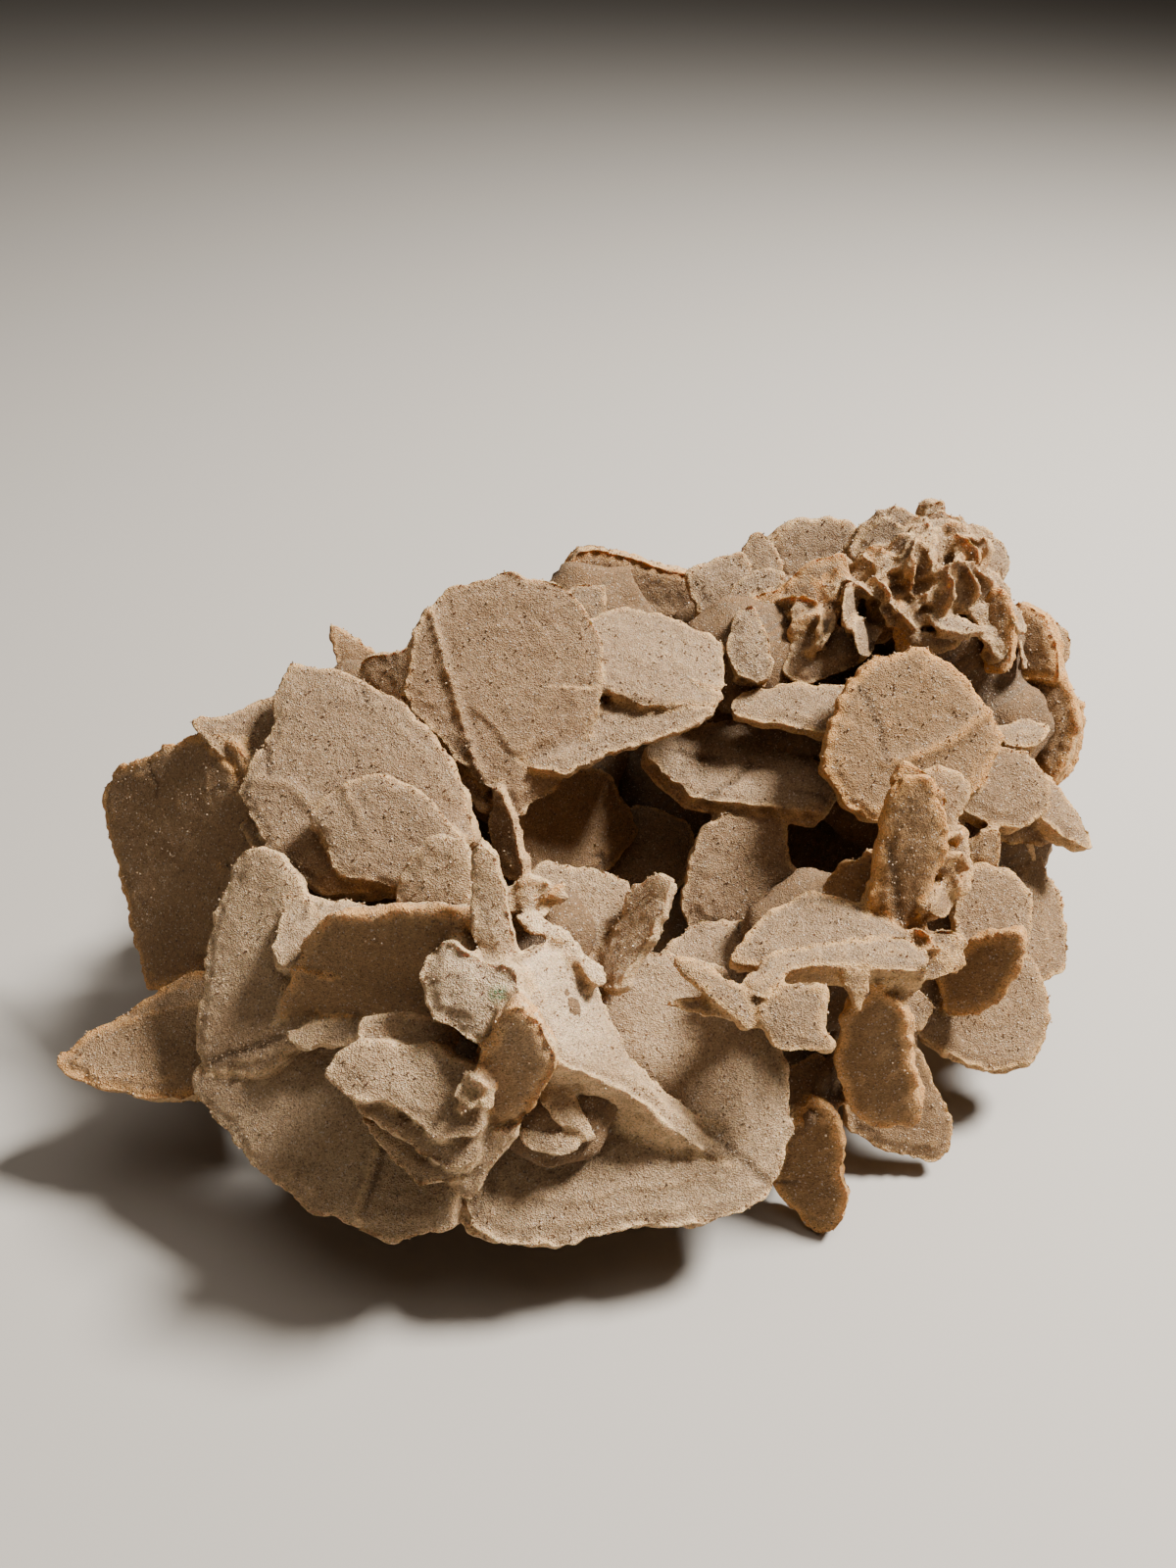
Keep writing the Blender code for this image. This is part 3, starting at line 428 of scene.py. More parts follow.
FRONT_ROSETTE = [
    # The big disc low at the front, and the pair of discs that opens to its left.
    Blade((10, -63, 48), 10, 50, 9, (
        (-46, -12), (-44, -28), (-34, -33), (-20, -35), (-3, -33), (15, -36), (32, -32),
        (41, -18), (43, -2), (40, 13), (30, 28), (5, 38), (-17, 31), (-35, 12))),
    Blade((-68, -71, 43), -15, 45, 8, (
        (-39, 3), (-36, 10), (-22, 19), (0, 26), (20, 22), (36, 5), (40, -16), (24, -23),
        (2, -21), (-14, -14), (-28, -5))),
    Blade((-86, -42, 73), -22, 38, 8, (
        (-13, 26), (-4, 31), (4, 27), (11, 19), (17, 10), (22, -9), (10, -26), (-8, -32),
        (-12, -24), (-15, 0), (-15, 14))),
    Blade((-62, -41, 84), 0, 62, 8, (
        (-18, 2), (-15, 9), (-4, 8), (8, 7), (16, 5), (18, -8), (0, -12), (-17, -9))),
    # The thin sail that stands on them, and the shelves that step down below the sail.
    Blade((-52, -55, 82), -12, 12, 5, (
        (-28, -21), (-25, -8), (-20, 8), (-12, 16), (10, 22), (23, 23), (28, 15), (24, -8),
        (2, -19))),
    Blade((-63, -61, 67), -5, 55, 4, ((-14, -1), (-6, 3), (5, 4), (13, 2), (3, -3), (-9, -4))),
    Blade((-43, -70, 78), 0, 52, 5, (
        (-13, 3), (-8, 5), (6, 4), (13, 1), (11, -5), (1, -5), (-7, -4), (-12, -1))),
    Blade((-43, -83, 73), -3, 46, 6, (
        (-18, 3), (-18, 8), (-13, 11), (6, 11), (18, 5), (19, -8), (15, -11), (8, -11), (2, -7),
        (-3, -3), (-10, -3), (-15, -1))),
    Blade((-41, -88, 64), 0, 44, 5, (
        (-16, 8), (-6, 6), (6, 1), (16, -1), (15, -7), (9, -9), (3, -6), (-3, -1), (-11, 3))),
    Blade((-43, -87, 57), -5, 48, 5, (
        (-15, 8), (-5, 5), (8, -2), (16, -3), (12, -8), (3, -9), (-5, -3))),
    # The knot of short thick crystals where the front blades meet, and the horn on top of it.
    Blade((-27, -68, 92), -25, 35, 16, (
        (-13, 2), (-10, 8), (-7, 10), (3, 8), (10, 9), (13, 2), (10, -4), (7, -10), (-6, -8))),
    Blade((-16, -81, 81), -8, 8, 10, (
        (-6, 14), (0, 19), (5, 14), (9, 5), (6, -5), (1, -16), (-5, -18), (-9, -12), (-9, 1))),
    Blade((-25, -89, 57), -12, 28, 6, (
        (-5, 6), (1, 11), (8, 12), (7, 5), (1, -6), (-2, -13), (-8, -10))),
    Blade((-22, -57, 108), 5, 25, 8, (
        (-2, 18), (2, 9), (5, -12), (3, -18), (-2, -15), (-6, -2), (-5, 12))),
    Blade((-5, -78, 60), 20, 40, 4, ((-3, 9), (2, 4), (7, -11), (1, -8), (-7, 3))),
    Blade((-9, -82, 54), 0, 55, 4, ((-9, 2), (-1, 5), (9, -1), (4, -5), (-6, -3))),
    # The long ridge that runs from the knot down across the big disc.
    Blade((8, -64, 61), 66, 41, 16, (
        (-13, 42), (-6, 42), (2, 38), (6, 28), (3, 16), (-2, 3), (-1, -12), (3, -28), (7, -44),
        (0, -40), (-6, -25), (-10, -5), (-16, 9), (-20, 17), (-17, 30)), 1.0),
    # The fins that stand behind the knot.
    Blade((-7, -55, 91), 30, 60, 5, (
        (-7, 14), (-1, 10), (5, 2), (8, -12), (4, -13), (2, -5), (-1, 3), (-5, 7))),
    Blade((-14, -43, 96), 0, 40, 6, ((-5, 2), (-3, 4), (3, 5), (6, 1), (4, -3), (-1, -5))),
    Blade((-1, -37, 84), 5, 55, 6, (
        (-16, 9), (-10, 16), (3, 14), (12, 9), (16, -1), (10, -14), (-4, -15), (-12, -5))),
    Blade((12, -45, 88), -58, 38, 7, (
        (-4, -15), (-5, -11), (-8, 8), (-4, 15), (1, 18), (4, 10), (6, 1), (7, -13),
        (3, -17)), 0.3),
    Blade((-38, -37, 99), -15, 35, 6, (
        (-10, -8), (-8, 3), (-3, 11), (6, 11), (10, 2), (9, -8), (0, -11))),
]


# A ridge or a crack: which blade it is on, how wide and how high it is (a crack is less than
# nought high), and the line it follows as (right, up-slope) points of that blade's face.
Mark = namedtuple("Mark", "blade width height line")

FRONT_MARKS = [
    Mark(0, 0.9, -0.9, ((24, -18), (29, -24), (34, -29), (38, -33))),
    Mark(1, 1.6, 0.8, ((16, -2), (15, -10), (15, -19))),
    Mark(1, 0.8, -0.8, ((18, 0), (17, -10), (16, -18))),
    Mark(2, 0.8, -1.0, ((9, 30), (10, 21), (11, 13))),
    Mark(2, 1.2, -0.8, ((12, -16), (3, -22), (-6, -28))),
    Mark(16, 1.6, 0.8, ((-21, 19), (-14, 6), (-10, -6), (-5, -25), (1, -41))),
]


def grown_outline(chance, radius, corners):
    """A roughly round outline, a little wider than tall, with uneven growth."""
    outline = []
    for corner in range(corners):
        angle = math.tau * corner / corners
        reach = radius * chance.uniform(0.86, 1.1)
        outline.append((reach * 1.08 * math.cos(angle), reach * math.sin(angle)))
    return outline


def tuft(chance, count, middle, spread, sizes):
    """Small blades crowded over a lump, each looking roughly away from its middle."""
    thickness, corners = 2.3, 7
    blades = []
    for _ in range(count):
        away = Vector([chance.gauss(0, 1) for _ in range(3)]).normalized()
        at = (middle[0] + spread[0] * away.x, middle[1] + spread[1] * away.y,
              middle[2] + spread[2] * abs(away.z))
        turn = math.degrees(math.atan2(away.x, -away.y)) + chance.uniform(-75, 75)
        blades.append(Blade(at, turn, chance.uniform(-15, 55), thickness,
                            grown_outline(chance, chance.uniform(*sizes), corners)))
    return blades


def ripple(count, knots, chance):
    """Smooth random values from -1 to 1 along a closed line."""
    values = [chance.uniform(-1, 1) for _ in range(max(3, knots))]
    place = np.arange(count) / count * len(values)
    lower = place.astype(int)
    part = eased(place - lower)
    values = np.array(values + values[:1])
    return values[lower] * (1 - part) + values[lower + 1] * part


def crystal_edge(blade, chance):
    """The grown edge of a blade: bowed sides, worn corners, and lobes, teeth and grit."""
    fewest_points, wear_rounds, full_length, cut_share = 24, 3, 90, 0.4
    outline = np.array(blade.outline, float)
    corners = []
    for index, start in enumerate(outline):
        before, end, after = (outline[(index + step) % len(outline)] for step in (-1, 1, 2))
        corners.append(start)
        if np.linalg.norm(end - start) > LONG_SIDE:
            corners.append((start + end) * (0.5 + BOW) - (before + after) * BOW)
    corners = np.array(corners + corners[:1])
    along = np.append(0, np.cumsum(np.linalg.norm(np.diff(corners, axis=0), axis=1)))
    length = along[-1]
    count = max(fewest_points, int(length / EDGE_STEP))
    place = np.arange(count) / count * length
    edge = np.stack([np.interp(place, along, corners[:, axis]) for axis in (0, 1)], axis=1)
    for _ in range(wear_rounds):
        edge = (np.roll(edge, 1, axis=0) + edge + np.roll(edge, -1, axis=0)) / 3
    ahead = np.roll(edge, -1, axis=0)
    way = ahead - np.roll(edge, 1, axis=0)
    way /= np.linalg.norm(way, axis=1)[:, None]
    turning = np.sum(edge[:, 0] * ahead[:, 1] - edge[:, 1] * ahead[:, 0])
    outward = np.stack((way[:, 1], -way[:, 0]), axis=1) * np.sign(turning)
    size = min(1.0, length / full_length) * (cut_share if blade.rim > SHARP_CUT else 1.0)
    lobes, teeth, grit = (ripple(count, int(length / wave), chance)
                          for wave, _ in (LOBES, TEETH, GRIT))
    reach = (LOBES[1] * size * (0.5 - np.abs(lobes)) + TEETH[1] * size * teeth
             + GRIT[1] * grit)
    return edge + outward * reach[:, None]


def half_thickness(blade, up_slope):
    lowest = min(point[1] for point in blade.outline)
    height = max(point[1] for point in blade.outline) - lowest
    share = np.clip((up_slope - lowest) / height, 0, 1)
    return blade.thick / 2 * (1 - (1 - blade.rim) * share)


def seen_from(blade, points):
    """The blade's outward direction, and the points' right, up-slope and outward places."""
    right, up, out = axes_of(blade.turn, blade.lift)
    local = points - np.array(blade.at)
    return out, local @ right, local @ up, local @ out


def blade_shell(blade, edge):
    """A flat wedge with its grown edge, thick at its foot and thinner at its upper rim."""
    right, up, out = axes_of(blade.turn, blade.lift)
    flat = np.array(blade.at) + edge[:, :1] * right + edge[:, 1:] * up
    half = half_thickness(blade, edge[:, 1])[:, None] * out
    count = len(edge)
    faces = [tuple(range(count)), tuple(reversed(range(count, 2 * count)))]
    for index in range(count):
        after = (index + 1) % count
        faces.append((after, index, index + count, after + count))
    return [*(flat + half), *(flat - half)], faces


def off_line(x, y, line):
    """How far each point lies from a line of corners."""
    nearest = np.full(len(x), 1e9)
    for (ax, ay), (bx, by) in zip(line, line[1:]):
        way_x, way_y = bx - ax, by - ay
        share = np.clip(((x - ax) * way_x + (y - ay) * way_y) / (way_x ** 2 + way_y ** 2), 0, 1)
        gap = (x - ax - share * way_x) ** 2 + (y - ay - share * way_y) ** 2
        np.minimum(nearest, gap, out=nearest)
    return np.sqrt(nearest)


def depth_inside(x, y, edge):
    """How far each point lies inside an edge, and less than nought outside it."""
    inside = np.zeros(len(x), bool)
    ring = [*edge, edge[0]]
    for (ax, ay), (bx, by) in zip(ring, ring[1:]):
        if ay != by:
            inside ^= ((ay > y) != (by > y)) & (x < ax + (y - ay) * (bx - ax) / (by - ay))
    return np.where(inside, 1, -1) * off_line(x, y, ring)


def step_up(value, start, width):
    return eased(np.clip((value - start) / width, 0, 1))


def layer_blades(piece, blades, edges, chance, clear):
    """Cuts each blade's rim down in thin layers, and stores its rim and its tone."""
    face_skin, edge_skin, deepest_step = 1.2, 1.5, 0.6
    points, normals = read_surface(piece)
    moved = points.copy()
    rim = np.zeros(len(points))
    tone = np.zeros(len(points))
    closest = np.full(len(points), 2.5)
    for index, (blade, edge) in enumerate(zip(blades, edges)):
        out, x, y, z = seen_from(blade, points)
        low, high = edge.min(axis=0) - edge_skin, edge.max(axis=0) + edge_skin
        near = np.flatnonzero((np.abs(z) < blade.thick / 2 + face_skin) & (x > low[0])
                              & (x < high[0]) & (y > low[1]) & (y < high[1]))
        if not len(near):
            continue
        x, y, z = x[near], y[near], z[near]
        half = half_thickness(blade, y)
        depth = depth_inside(x, y, edge[::2])
        off_face = np.abs(np.abs(z) - half)
        facing = normals[near] @ out
        side = np.sign(z)
        on_face = (facing * side > 0.5) & (off_face < face_skin) & (depth > -0.6)
        # One or two steps on either face, each as deep as a share of the blade's thickness.
        wander = depth + 1.4 * lattice_noise(points[near], 7.0, 5)
        lost = np.zeros(len(near))
        for way in (-1, 1):
            steps = [(chance.uniform(1.5, 4), 0.07)]
            if chance.random() < 0.5:
                steps.append((chance.uniform(5, 14), 0.09))
            for reach, share in steps:
                step = np.minimum(share * 2 * half, deepest_step)
                lost += (side == way) * step * (1 - step_up(wander, reach, 0.9))
        lost += 0.14 * half * np.exp(-np.maximum(depth, 0) / 1.4)
        shift = -out * (side * lost * on_face)[:, None]
        # Between its layers the rim is cut in by a fine groove, here and there.
        on_rim = (np.abs(facing) < 0.6) & (depth < 1.3) & (half > 1.4)
        groove = (0.6 * on_rim * np.exp(-((z - 0.2 * half) / 0.5) ** 2)
                  * step_up(lattice_noise(points[near], 11.0, 9), 0.1, 0.3))
        moved[near] += shift - normals[near] * groove[:, None]
        # A point takes the tone of the blade whose face it is closest to. Blades that look up are
        # sandier, and the clear ones have a wide clear rim, where the painted glow is wider, and a
        # darker warm tone, which on blades that stand in shadow is painted shade.
        gap = off_face - np.minimum(depth, 0)
        owned = (np.abs(z) < half + 1.0) & (depth > -edge_skin) & (gap < closest[near])
        closest[near[owned]] = gap[owned]
        sandiness = np.clip(0.75 - blade.lift / 45, -0.6, 0.7) + chance.uniform(-0.2, 0.2)
        tone[near[owned]] = 1.0 if index in clear else sandiness
        rim_width = 2.4 if index in clear else 1.3
        edge_on = np.clip(1.3 - depth / rim_width, 0, 1)
        edge_on *= (np.abs(z) < half + 0.8) & (depth > -edge_skin)
        rim[near] = np.maximum(rim[near], edge_on)
    write_surface(piece, moved)
    store(piece, "rim", rim)
    store(piece, "tone", tone)
    hub = np.linalg.norm((points - HUB) / HUB_SIZE, axis=1)
    store(piece, "pale", step_up(-hub, -1.25, 0.7))


def second_layers(blades, chance):
    """Thin crystals that lie against the backs of some blades, a little out of line with them."""
    thinnest, left_bare, layer_thickness = 4.5, 0.45, 2.6
    layers = []
    for blade in blades:
        if blade.thick < thinnest or blade.rim > SHARP_CUT or chance.random() < left_bare:
            continue
        right, up, out = axes_of(blade.turn, blade.lift)
        across, along = chance.uniform(-2.2, 2.2), chance.uniform(-2.2, 0.8)
        at = np.array(blade.at) - out * blade.thick * 0.42 + right * across + up * along
        layers.append(Blade(tuple(at), blade.turn, blade.lift, layer_thickness, blade.outline,
                            0.8))
    return layers


def draw_marks(piece, blades, marks):
    """Raises the ridges and cuts the cracks, and gives each point's share of a crack."""
    points, normals = read_surface(piece)
    moved = points.copy()
    cracked = np.zeros(len(points))
    for mark in marks:
        blade = blades[mark.blade]
        out, x, y, z = seen_from(blade, points)
        near = np.flatnonzero((np.abs(z - half_thickness(blade, y)) < 1.6) & (normals @ out > 0.4))
        wander = 0.35 * np.abs(lattice_noise(points[near], 5.0, 3))
        share = np.exp(-((off_line(x[near], y[near], mark.line) + wander) / mark.width) ** 2)
        moved[near] += out * (mark.height * share)[:, None]
        if mark.height < 0:
            cracked[near] = np.maximum(cracked[near], share)
    write_surface(piece, moved)
    return cracked


def chance_cracks(blades, chance):
    """Short cracks that run in from the rims of the larger blades."""
    marks = []
    for index, blade in enumerate(blades):
        reach = max(point[0] for point in blade.outline)
        if reach < 12 or chance.random() < 0.6:
            continue
        angle = chance.uniform(0, math.tau)
        line = [(share * reach * math.cos(angle) + chance.uniform(-1.5, 1.5),
                 share * reach * math.sin(angle) + chance.uniform(-1.5, 1.5))
                for share in (1.1, 0.85, 0.7, chance.uniform(0.5, 0.6))]
        marks.append(Mark(index, 0.6, -0.6, line))
    return marks


def grow(name, blades, material, cell, chance, marks=(), webs=(), clear=()):
    """A cluster of blades as one piece: joined, layered, crumbled and put in its place.

    `clear` lists the blades that take the darker warm tone and the wide rim, by their places in the
    list: those with the least sand in them, and some in shadow, where the tone is painted shade.
    """
    edges = [crystal_edge(blade, chance) for blade in blades]
    shells = [blade_shell(blade, edge) for blade, edge in zip(blades, edges)]
    for layer in second_layers(blades, chance):
        shells.append(blade_shell(layer, crystal_edge(layer, chance)))
    piece = grown_together(name, shells, cell)
    layer_blades(piece, blades, edges, chance, clear)
    cracked = draw_marks(piece, blades, [*marks, *chance_cracks(blades, chance)])
    fill_joints(piece, 2)
    for place, reach, rounds in webs:
        fill_joints(piece, rounds, place, reach)
    crumble(piece, 1.0)
    mark_hollows(piece, cracked)
    finish_piece(piece, material)
    return piece


FLECK_PLACE = (-20.7, -73.9, 96.5)
cream_gypsum = sandy_gypsum("cream_gypsum", (0.59, 0.395, 0.222), (0.42, 0.26, 0.136),
                            (0.42, 0.245, 0.115), (0.86, 0.57, 0.30), FLECK_PLACE)
# Crumbs of small crystals behind the horn, and curled ones under the knot.
crumb_chance = random.Random(11)
crumbs = tuft(crumb_chance, 9, (-13, -41, 95), (7, 5, 5), (2.2, 4))
crumbs += tuft(crumb_chance, 6, (-26, -86, 74), (3, 3, 6), (2.2, 3.6))
# Where sand and gypsum have filled the corners: the place, the reach and how far it has gone.
FRONT_WEBS = [((16, -58, 60), 30, 16), ((-14, -62, 90), 16, 5), ((-29, -69, 90), 12, 9)]
front_rosette = grow("front_rosette", FRONT_ROSETTE + crumbs, cream_gypsum, BLADE_CELL,
                     random.Random(1), FRONT_MARKS, FRONT_WEBS, clear=(4, 11))


# ---- The blades on the left ------------------------------
# The broad wing, the spike below it and the wide disc beside the hollow. They are the same
# gypsum as the rest, brown and wavy at the rim, and grew out of the core one over another.

LEFT_BLADES = [
    # The broad wing on the far left and the spike that points away below it.
    Blade((-119, 1, 72), -35, 30, 7, (
        (-35, 7), (-32, 16), (-20, 25), (-5, 36), (14, 40), (29, 19), (31, -10), (19, -31),
        (3, -41), (-10, -26), (-19, -14), (-29, -3))),
    Blade((-117, -41, 42), -15, 58, 12, (
        (-28, -11), (-19, -2), (-9, 9), (0, 18), (9, 21), (24, 19), (31, -5), (16, -14),
        (0, -17), (-24, -16))),
    # The wide disc between the wing and the back disc, with a smaller one inside its curve.
    Blade((-62, -4, 105), -10, 50, 9, (
        (-32, -8), (-28, 7), (-25, 12), (-28, 21), (-25, 30), (-11, 29), (8, 23), (20, 12),
        (30, 0), (35, -14), (22, -28), (-2, -32), (-16, -27), (-26, -15))),
    Blade((-53, -22, 102), -5, 42, 6, (
        (-20, 2), (-13, 11), (-3, 15), (4, 13), (13, 8), (20, 0), (18, -10), (5, -15),
        (-10, -13))),
    # The thick wedges that fill the notch on the left.
    Blade((-97, 13, 103), 10, 50, 9, (
        (-14, 9), (0, 10), (11, 14), (17, 4), (13, -12), (2, -15), (-5, -4))),
    Blade((-86, -13, 91), 0, 50, 6, ((-10, 4), (-4, 8), (6, 2), (9, -6), (0, -8))),
    Blade((-96, 35, 98), 0, 40, 6, ((-10, -1), (-3, 5), (5, 8), (11, 2), (5, -8), (-7, -8))),
    Blade((-96, -1, 87), -30, 35, 6, ((-7, 0), (-9, 9), (-2, 14), (7, 5), (8, -9), (0, -13))),
    # Two small blades that look over the wing from behind.
    Blade((-78, 81, 90), 20, 20, 6, ((-6, 13), (-1, 9), (7, 1), (8, -11), (-5, -9))),
    Blade((-61, 59, 95), -5, 15, 7, (
        (-13, 2), (-8, 9), (3, 10), (7, 14), (12, 6), (8, -11), (-5, -13))),
]

LEFT_MARKS = [
    Mark(2, 2.2, 0.9, ((-28, -4), (-19, -4), (-10, -9))),
    Mark(2, 0.8, -0.9, ((-32, 9), (-26, 4), (-24, -2))),
    Mark(3, 1.4, 0.5, ((-11, 11), (-7, 4), (-2, -4))),
    Mark(1, 1.8, 0.7, ((-23, -6), (-6, 5), (12, 13))),
]

brown_gypsum = sandy_gypsum("brown_gypsum", (0.45, 0.285, 0.156), (0.32, 0.19, 0.098),
                            (0.36, 0.21, 0.10), (0.78, 0.49, 0.235))
# The spike takes the clear tone as painted shade: it lies in the shadow of the wing and the front
# discs.
left_blades = grow("left_blades", LEFT_BLADES, brown_gypsum, BLADE_CELL, random.Random(2),
                   LEFT_MARKS, clear=(0, 1))


# ---- The blades round the hollow -------------------------
# The tall disc with its folded side, the double ear, and the dark blades down in the hollow.
# Sand blew into the hollow as they grew, so their lower faces are dull and dusty.

MIDDLE_BLADES = [
    # The tall disc behind the rosette, its folded left side, and the double ear on its right.
    Blade((-24, 25, 114), 10, 30, 8, (
        (-29, 3), (-25, 8), (-24, 17), (-20, 24), (-12, 30), (-4, 31), (4, 34), (10, 31),
        (17, 30), (24, 23), (30, 11), (26, -8), (13, -28), (0, -36), (-9, -25), (-18, -14))),
    Blade((-41, 26, 107), -8, 34, 7, (
        (-14, 4), (-11, 10), (-11, 20), (-5, 29), (0, 18), (7, -1), (14, -18), (15, -29),
        (5, -20), (-5, -9))),
    Blade((14, 39, 116), 15, 65, 5, (
        (-29, -5), (-24, 6), (-14, 14), (-4, 18), (6, 17), (16, 11), (27, 0), (24, -12),
        (18, -20), (-2, -16), (-11, -9))),
    Blade((10, 21, 103), -8, 60, 5, (
        (-28, -13), (-15, -16), (-5, -9), (6, -4), (16, 1), (25, 7), (28, 15), (16, 16),
        (-6, 8), (-21, -2))),
    # The blades round the deep hollow in the middle.
    Blade((46, 29, 84), -10, 65, 6, (
        (-30, 2), (-24, -5), (-13, -13), (5, -14), (26, -14), (31, -2), (15, 11), (0, 18),
        (-18, 12))),
    Blade((45, 5, 61), 0, 35, 6, (
        (-17, -9), (-15, 5), (-12, 14), (-5, 19), (13, 18), (17, 0), (11, -13), (-4, -19),
        (-14, -16))),
    Blade((40, -22, 50), 5, 58, 7, (
        (-18, -12), (-20, 4), (-8, 14), (10, 14), (18, 4), (12, -12), (-4, -16))),
    Blade((-6, 24, 67), 40, 20, 7, ((-20, 25), (-2, 20), (18, 8), (24, -15), (2, -23), (-19, -12))),
    Blade((-22, -3, 83), -50, 20, 6, ((-12, 11), (-7, 11), (5, 1), (12, -7), (0, -11), (-9, 0))),
    Blade((13, 33, 46), 0, 55, 8, (
        (-26, 6), (-12, 15), (4, 16), (19, 11), (25, -3), (12, -16), (-13, -16))),
    Blade((18, 56, 50), 10, 25, 8, ((-21, 14), (-4, 16), (16, 7), (22, -11), (1, -16), (-19, -6))),
]

MIDDLE_MARKS = [
    Mark(0, 1.3, 1.4, ((-18, 24), (-15, 6), (-12, -10), (-10, -20), (-7, -26))),
    Mark(2, 1.0, -0.8, ((-12, -9), (-4, -15), (7, -19))),
    Mark(4, 0.9, -1.1, ((-8, -14), (-5, -9), (-2, -7), (3, 0))),
    Mark(4, 0.8, -0.7, ((-20, 2), (-12, 0), (-6, 1))),
    Mark(6, 1.8, 1.2, ((-6, 14), (2, 17), (13, 19))),
]

middle_blades = grow("middle_blades", MIDDLE_BLADES, brown_gypsum, BLADE_CELL, random.Random(3),
                     MIDDLE_MARKS)


# ---- The right rosette -----------------------------------
# The thick shelf with the tall orange blade on it, and the discs and fins that fan out to the
# right and hang below. Thin clear rims let the light through and look orange.

RIGHT_ROSETTE = [
    # The thick shelf, its spikes, and the teeth below it.
    Blade((61, -52, 78), -6, 80, 13, (
        (-23, -6), (-15, 3), (1, 8), (19, 12), (25, 6), (24, 1), (14, 1), (2, 1), (-10, -1),
        (-14, -8), (-18, -11)), 0.85),
    Blade((60, -40, 80), 0, 66, 8, (
        (-24, -7), (-14, 6), (-2, 13), (12, 8), (24, 0), (24, -10), (-6, -10)), 0.85),
    Blade((32, -59, 81), 20, 55, 5, (
        (-9, 12), (-4, 10), (1, 5), (5, 0), (9, -10), (5, -12), (-1, -4), (-5, 2), (-9, 8))),
    Blade((28, -60, 77), -10, 50, 4, ((-9, -1), (-4, 1), (0, 3), (6, 1), (9, -2), (0, -2))),
    Blade((51, -66, 75), 5, 45, 5, (
        (-10, 5), (-7, 8), (-4, 11), (8, 11), (7, 4), (6, 0), (9, -4), (6, -6), (1, -4),
        (-4, -5), (-8, -1))),
    Blade((67, -57, 74), 0, 30, 4, ((-4, 8), (4, 9), (3, 3), (1, -3), (-1, 2))),
    # The tall blade on the shelf, with what stands beside and behind it.
    Blade((82, -30, 94), 5, 15, 8, (
        (-7, 10), (-6, 22), (-3, 28), (4, 27), (9, 17), (10, 5), (6, -12), (5, -22), (-1, -28),
        (-8, -24), (-10, -10))),
    Blade((87, -15, 102), 12, 20, 6, (
        (-6, 13), (-3, 16), (2, 12), (8, 5), (6, -15), (-1, -9), (-8, 4))),
    Blade((73, -24, 78), -38, 12, 6, (
        (-8, -13), (-10, 2), (-6, 11), (0, 17), (7, 14), (11, -7), (2, -15))),
    Blade((95, -9, 102), 20, 35, 6, ((-6, 8), (2, 9), (10, 2), (6, -4), (0, -8), (-7, -8))),
    Blade((98, -17, 89), 10, 40, 8, ((-6, 4), (1, 10), (5, 6), (4, -7), (-4, -8))),
    Blade((95, -26, 85), 60, 20, 6, ((-8, 6), (9, -1), (15, -7), (-8, -4), (-15, 2))),
    Blade((90, -43, 78), 0, 45, 9, ((-8, 2), (0, 7), (8, 5), (6, -4), (-3, -7))),
    Blade((80, -49, 71), -10, 35, 6, ((-7, -1), (-1, 4), (7, 2), (1, -5))),
    # The discs that fan out to the right.
    Blade((116, -12, 62), 15, 42, 6, (
        (-12, 6), (-6, 14), (2, 15), (8, 11), (13, 2), (9, -11), (-4, -14), (-13, -8))),
    Blade((109, -28, 55), -35, 15, 5, (
        (8, 18), (11, 10), (8, -6), (2, -14), (-5, -17), (-11, -2), (-2, 11))),
    Blade((128, 0, 50), 25, 45, 7, (
        (1, 19), (10, 21), (17, 16), (15, 10), (17, 1), (15, -11), (9, -20), (-5, -21),
        (-18, -12), (-18, 5))),
    Blade((113, -25, 36), 15, 42, 7, (
        (-23, 0), (-15, -8), (-6, -15), (4, -18), (13, -18), (20, -11), (23, 0), (20, 11),
        (5, 16), (-15, 12))),
    Blade((91, -32, 44), 5, 40, 5, ((-8, 1), (-3, 6), (4, 6), (8, 0), (3, -6), (-5, -5))),
    # The fin that hangs from the shelf, and the lowest blades on the right.
    Blade((77, -58, 52), -12, 12, 6, (
        (-12, 17), (-4, 25), (4, 19), (7, 3), (12, -10), (13, -15), (3, -20), (-6, -15),
        (-12, -1))),
    Blade((88, -45, 24), 5, 28, 6, (
        (-3, 22), (3, 18), (8, 8), (15, -8), (16, -15), (11, -22), (-4, -17), (-15, -10),
        (-16, 8))),
    Blade((61, -66, 21), -28, 15, 6, (
        (3, 19), (7, 9), (11, -5), (12, -15), (7, -22), (-3, -16), (-9, -10), (-9, 8),
        (-4, 21))),
    Blade((61, -55, 37), 0, 50, 5, (
        (-10, 4), (1, 10), (12, 6), (10, -2), (3, -7), (-12, -7))),
]

orange_gypsum = sandy_gypsum("orange_gypsum", (0.38, 0.235, 0.122), (0.28, 0.16, 0.075),
                             (0.31, 0.172, 0.072), (0.78, 0.47, 0.20))
RIGHT_MARKS = [
    Mark(0, 0.9, -1.1, ((-12, -8), (-2, -4), (1, -4))),
    Mark(6, 1.0, -0.6, ((-6, 11), (-3, -1), (-1, -15))),
]

# Thin crystals stacked beside the tall blade, and curled ones at the end of the shelf.
stack_chance = random.Random(12)
stack = tuft(stack_chance, 12, (96, -20, 84), (6, 6, 14), (3, 5.5))
stack += tuft(stack_chance, 10, (91, -42, 76), (8, 5, 6), (2.6, 4.6))
right_rosette = grow("right_rosette", RIGHT_ROSETTE + stack, orange_gypsum, BLADE_CELL,
                     random.Random(4), RIGHT_MARKS, clear=(6, 7, 15, 19, 21))


# ---- The blades behind the right rosette -----------------
# The broad front-facing disc, its lobes and spike, and the nested rims round the right pocket.
# They are grown through one another at the foot.

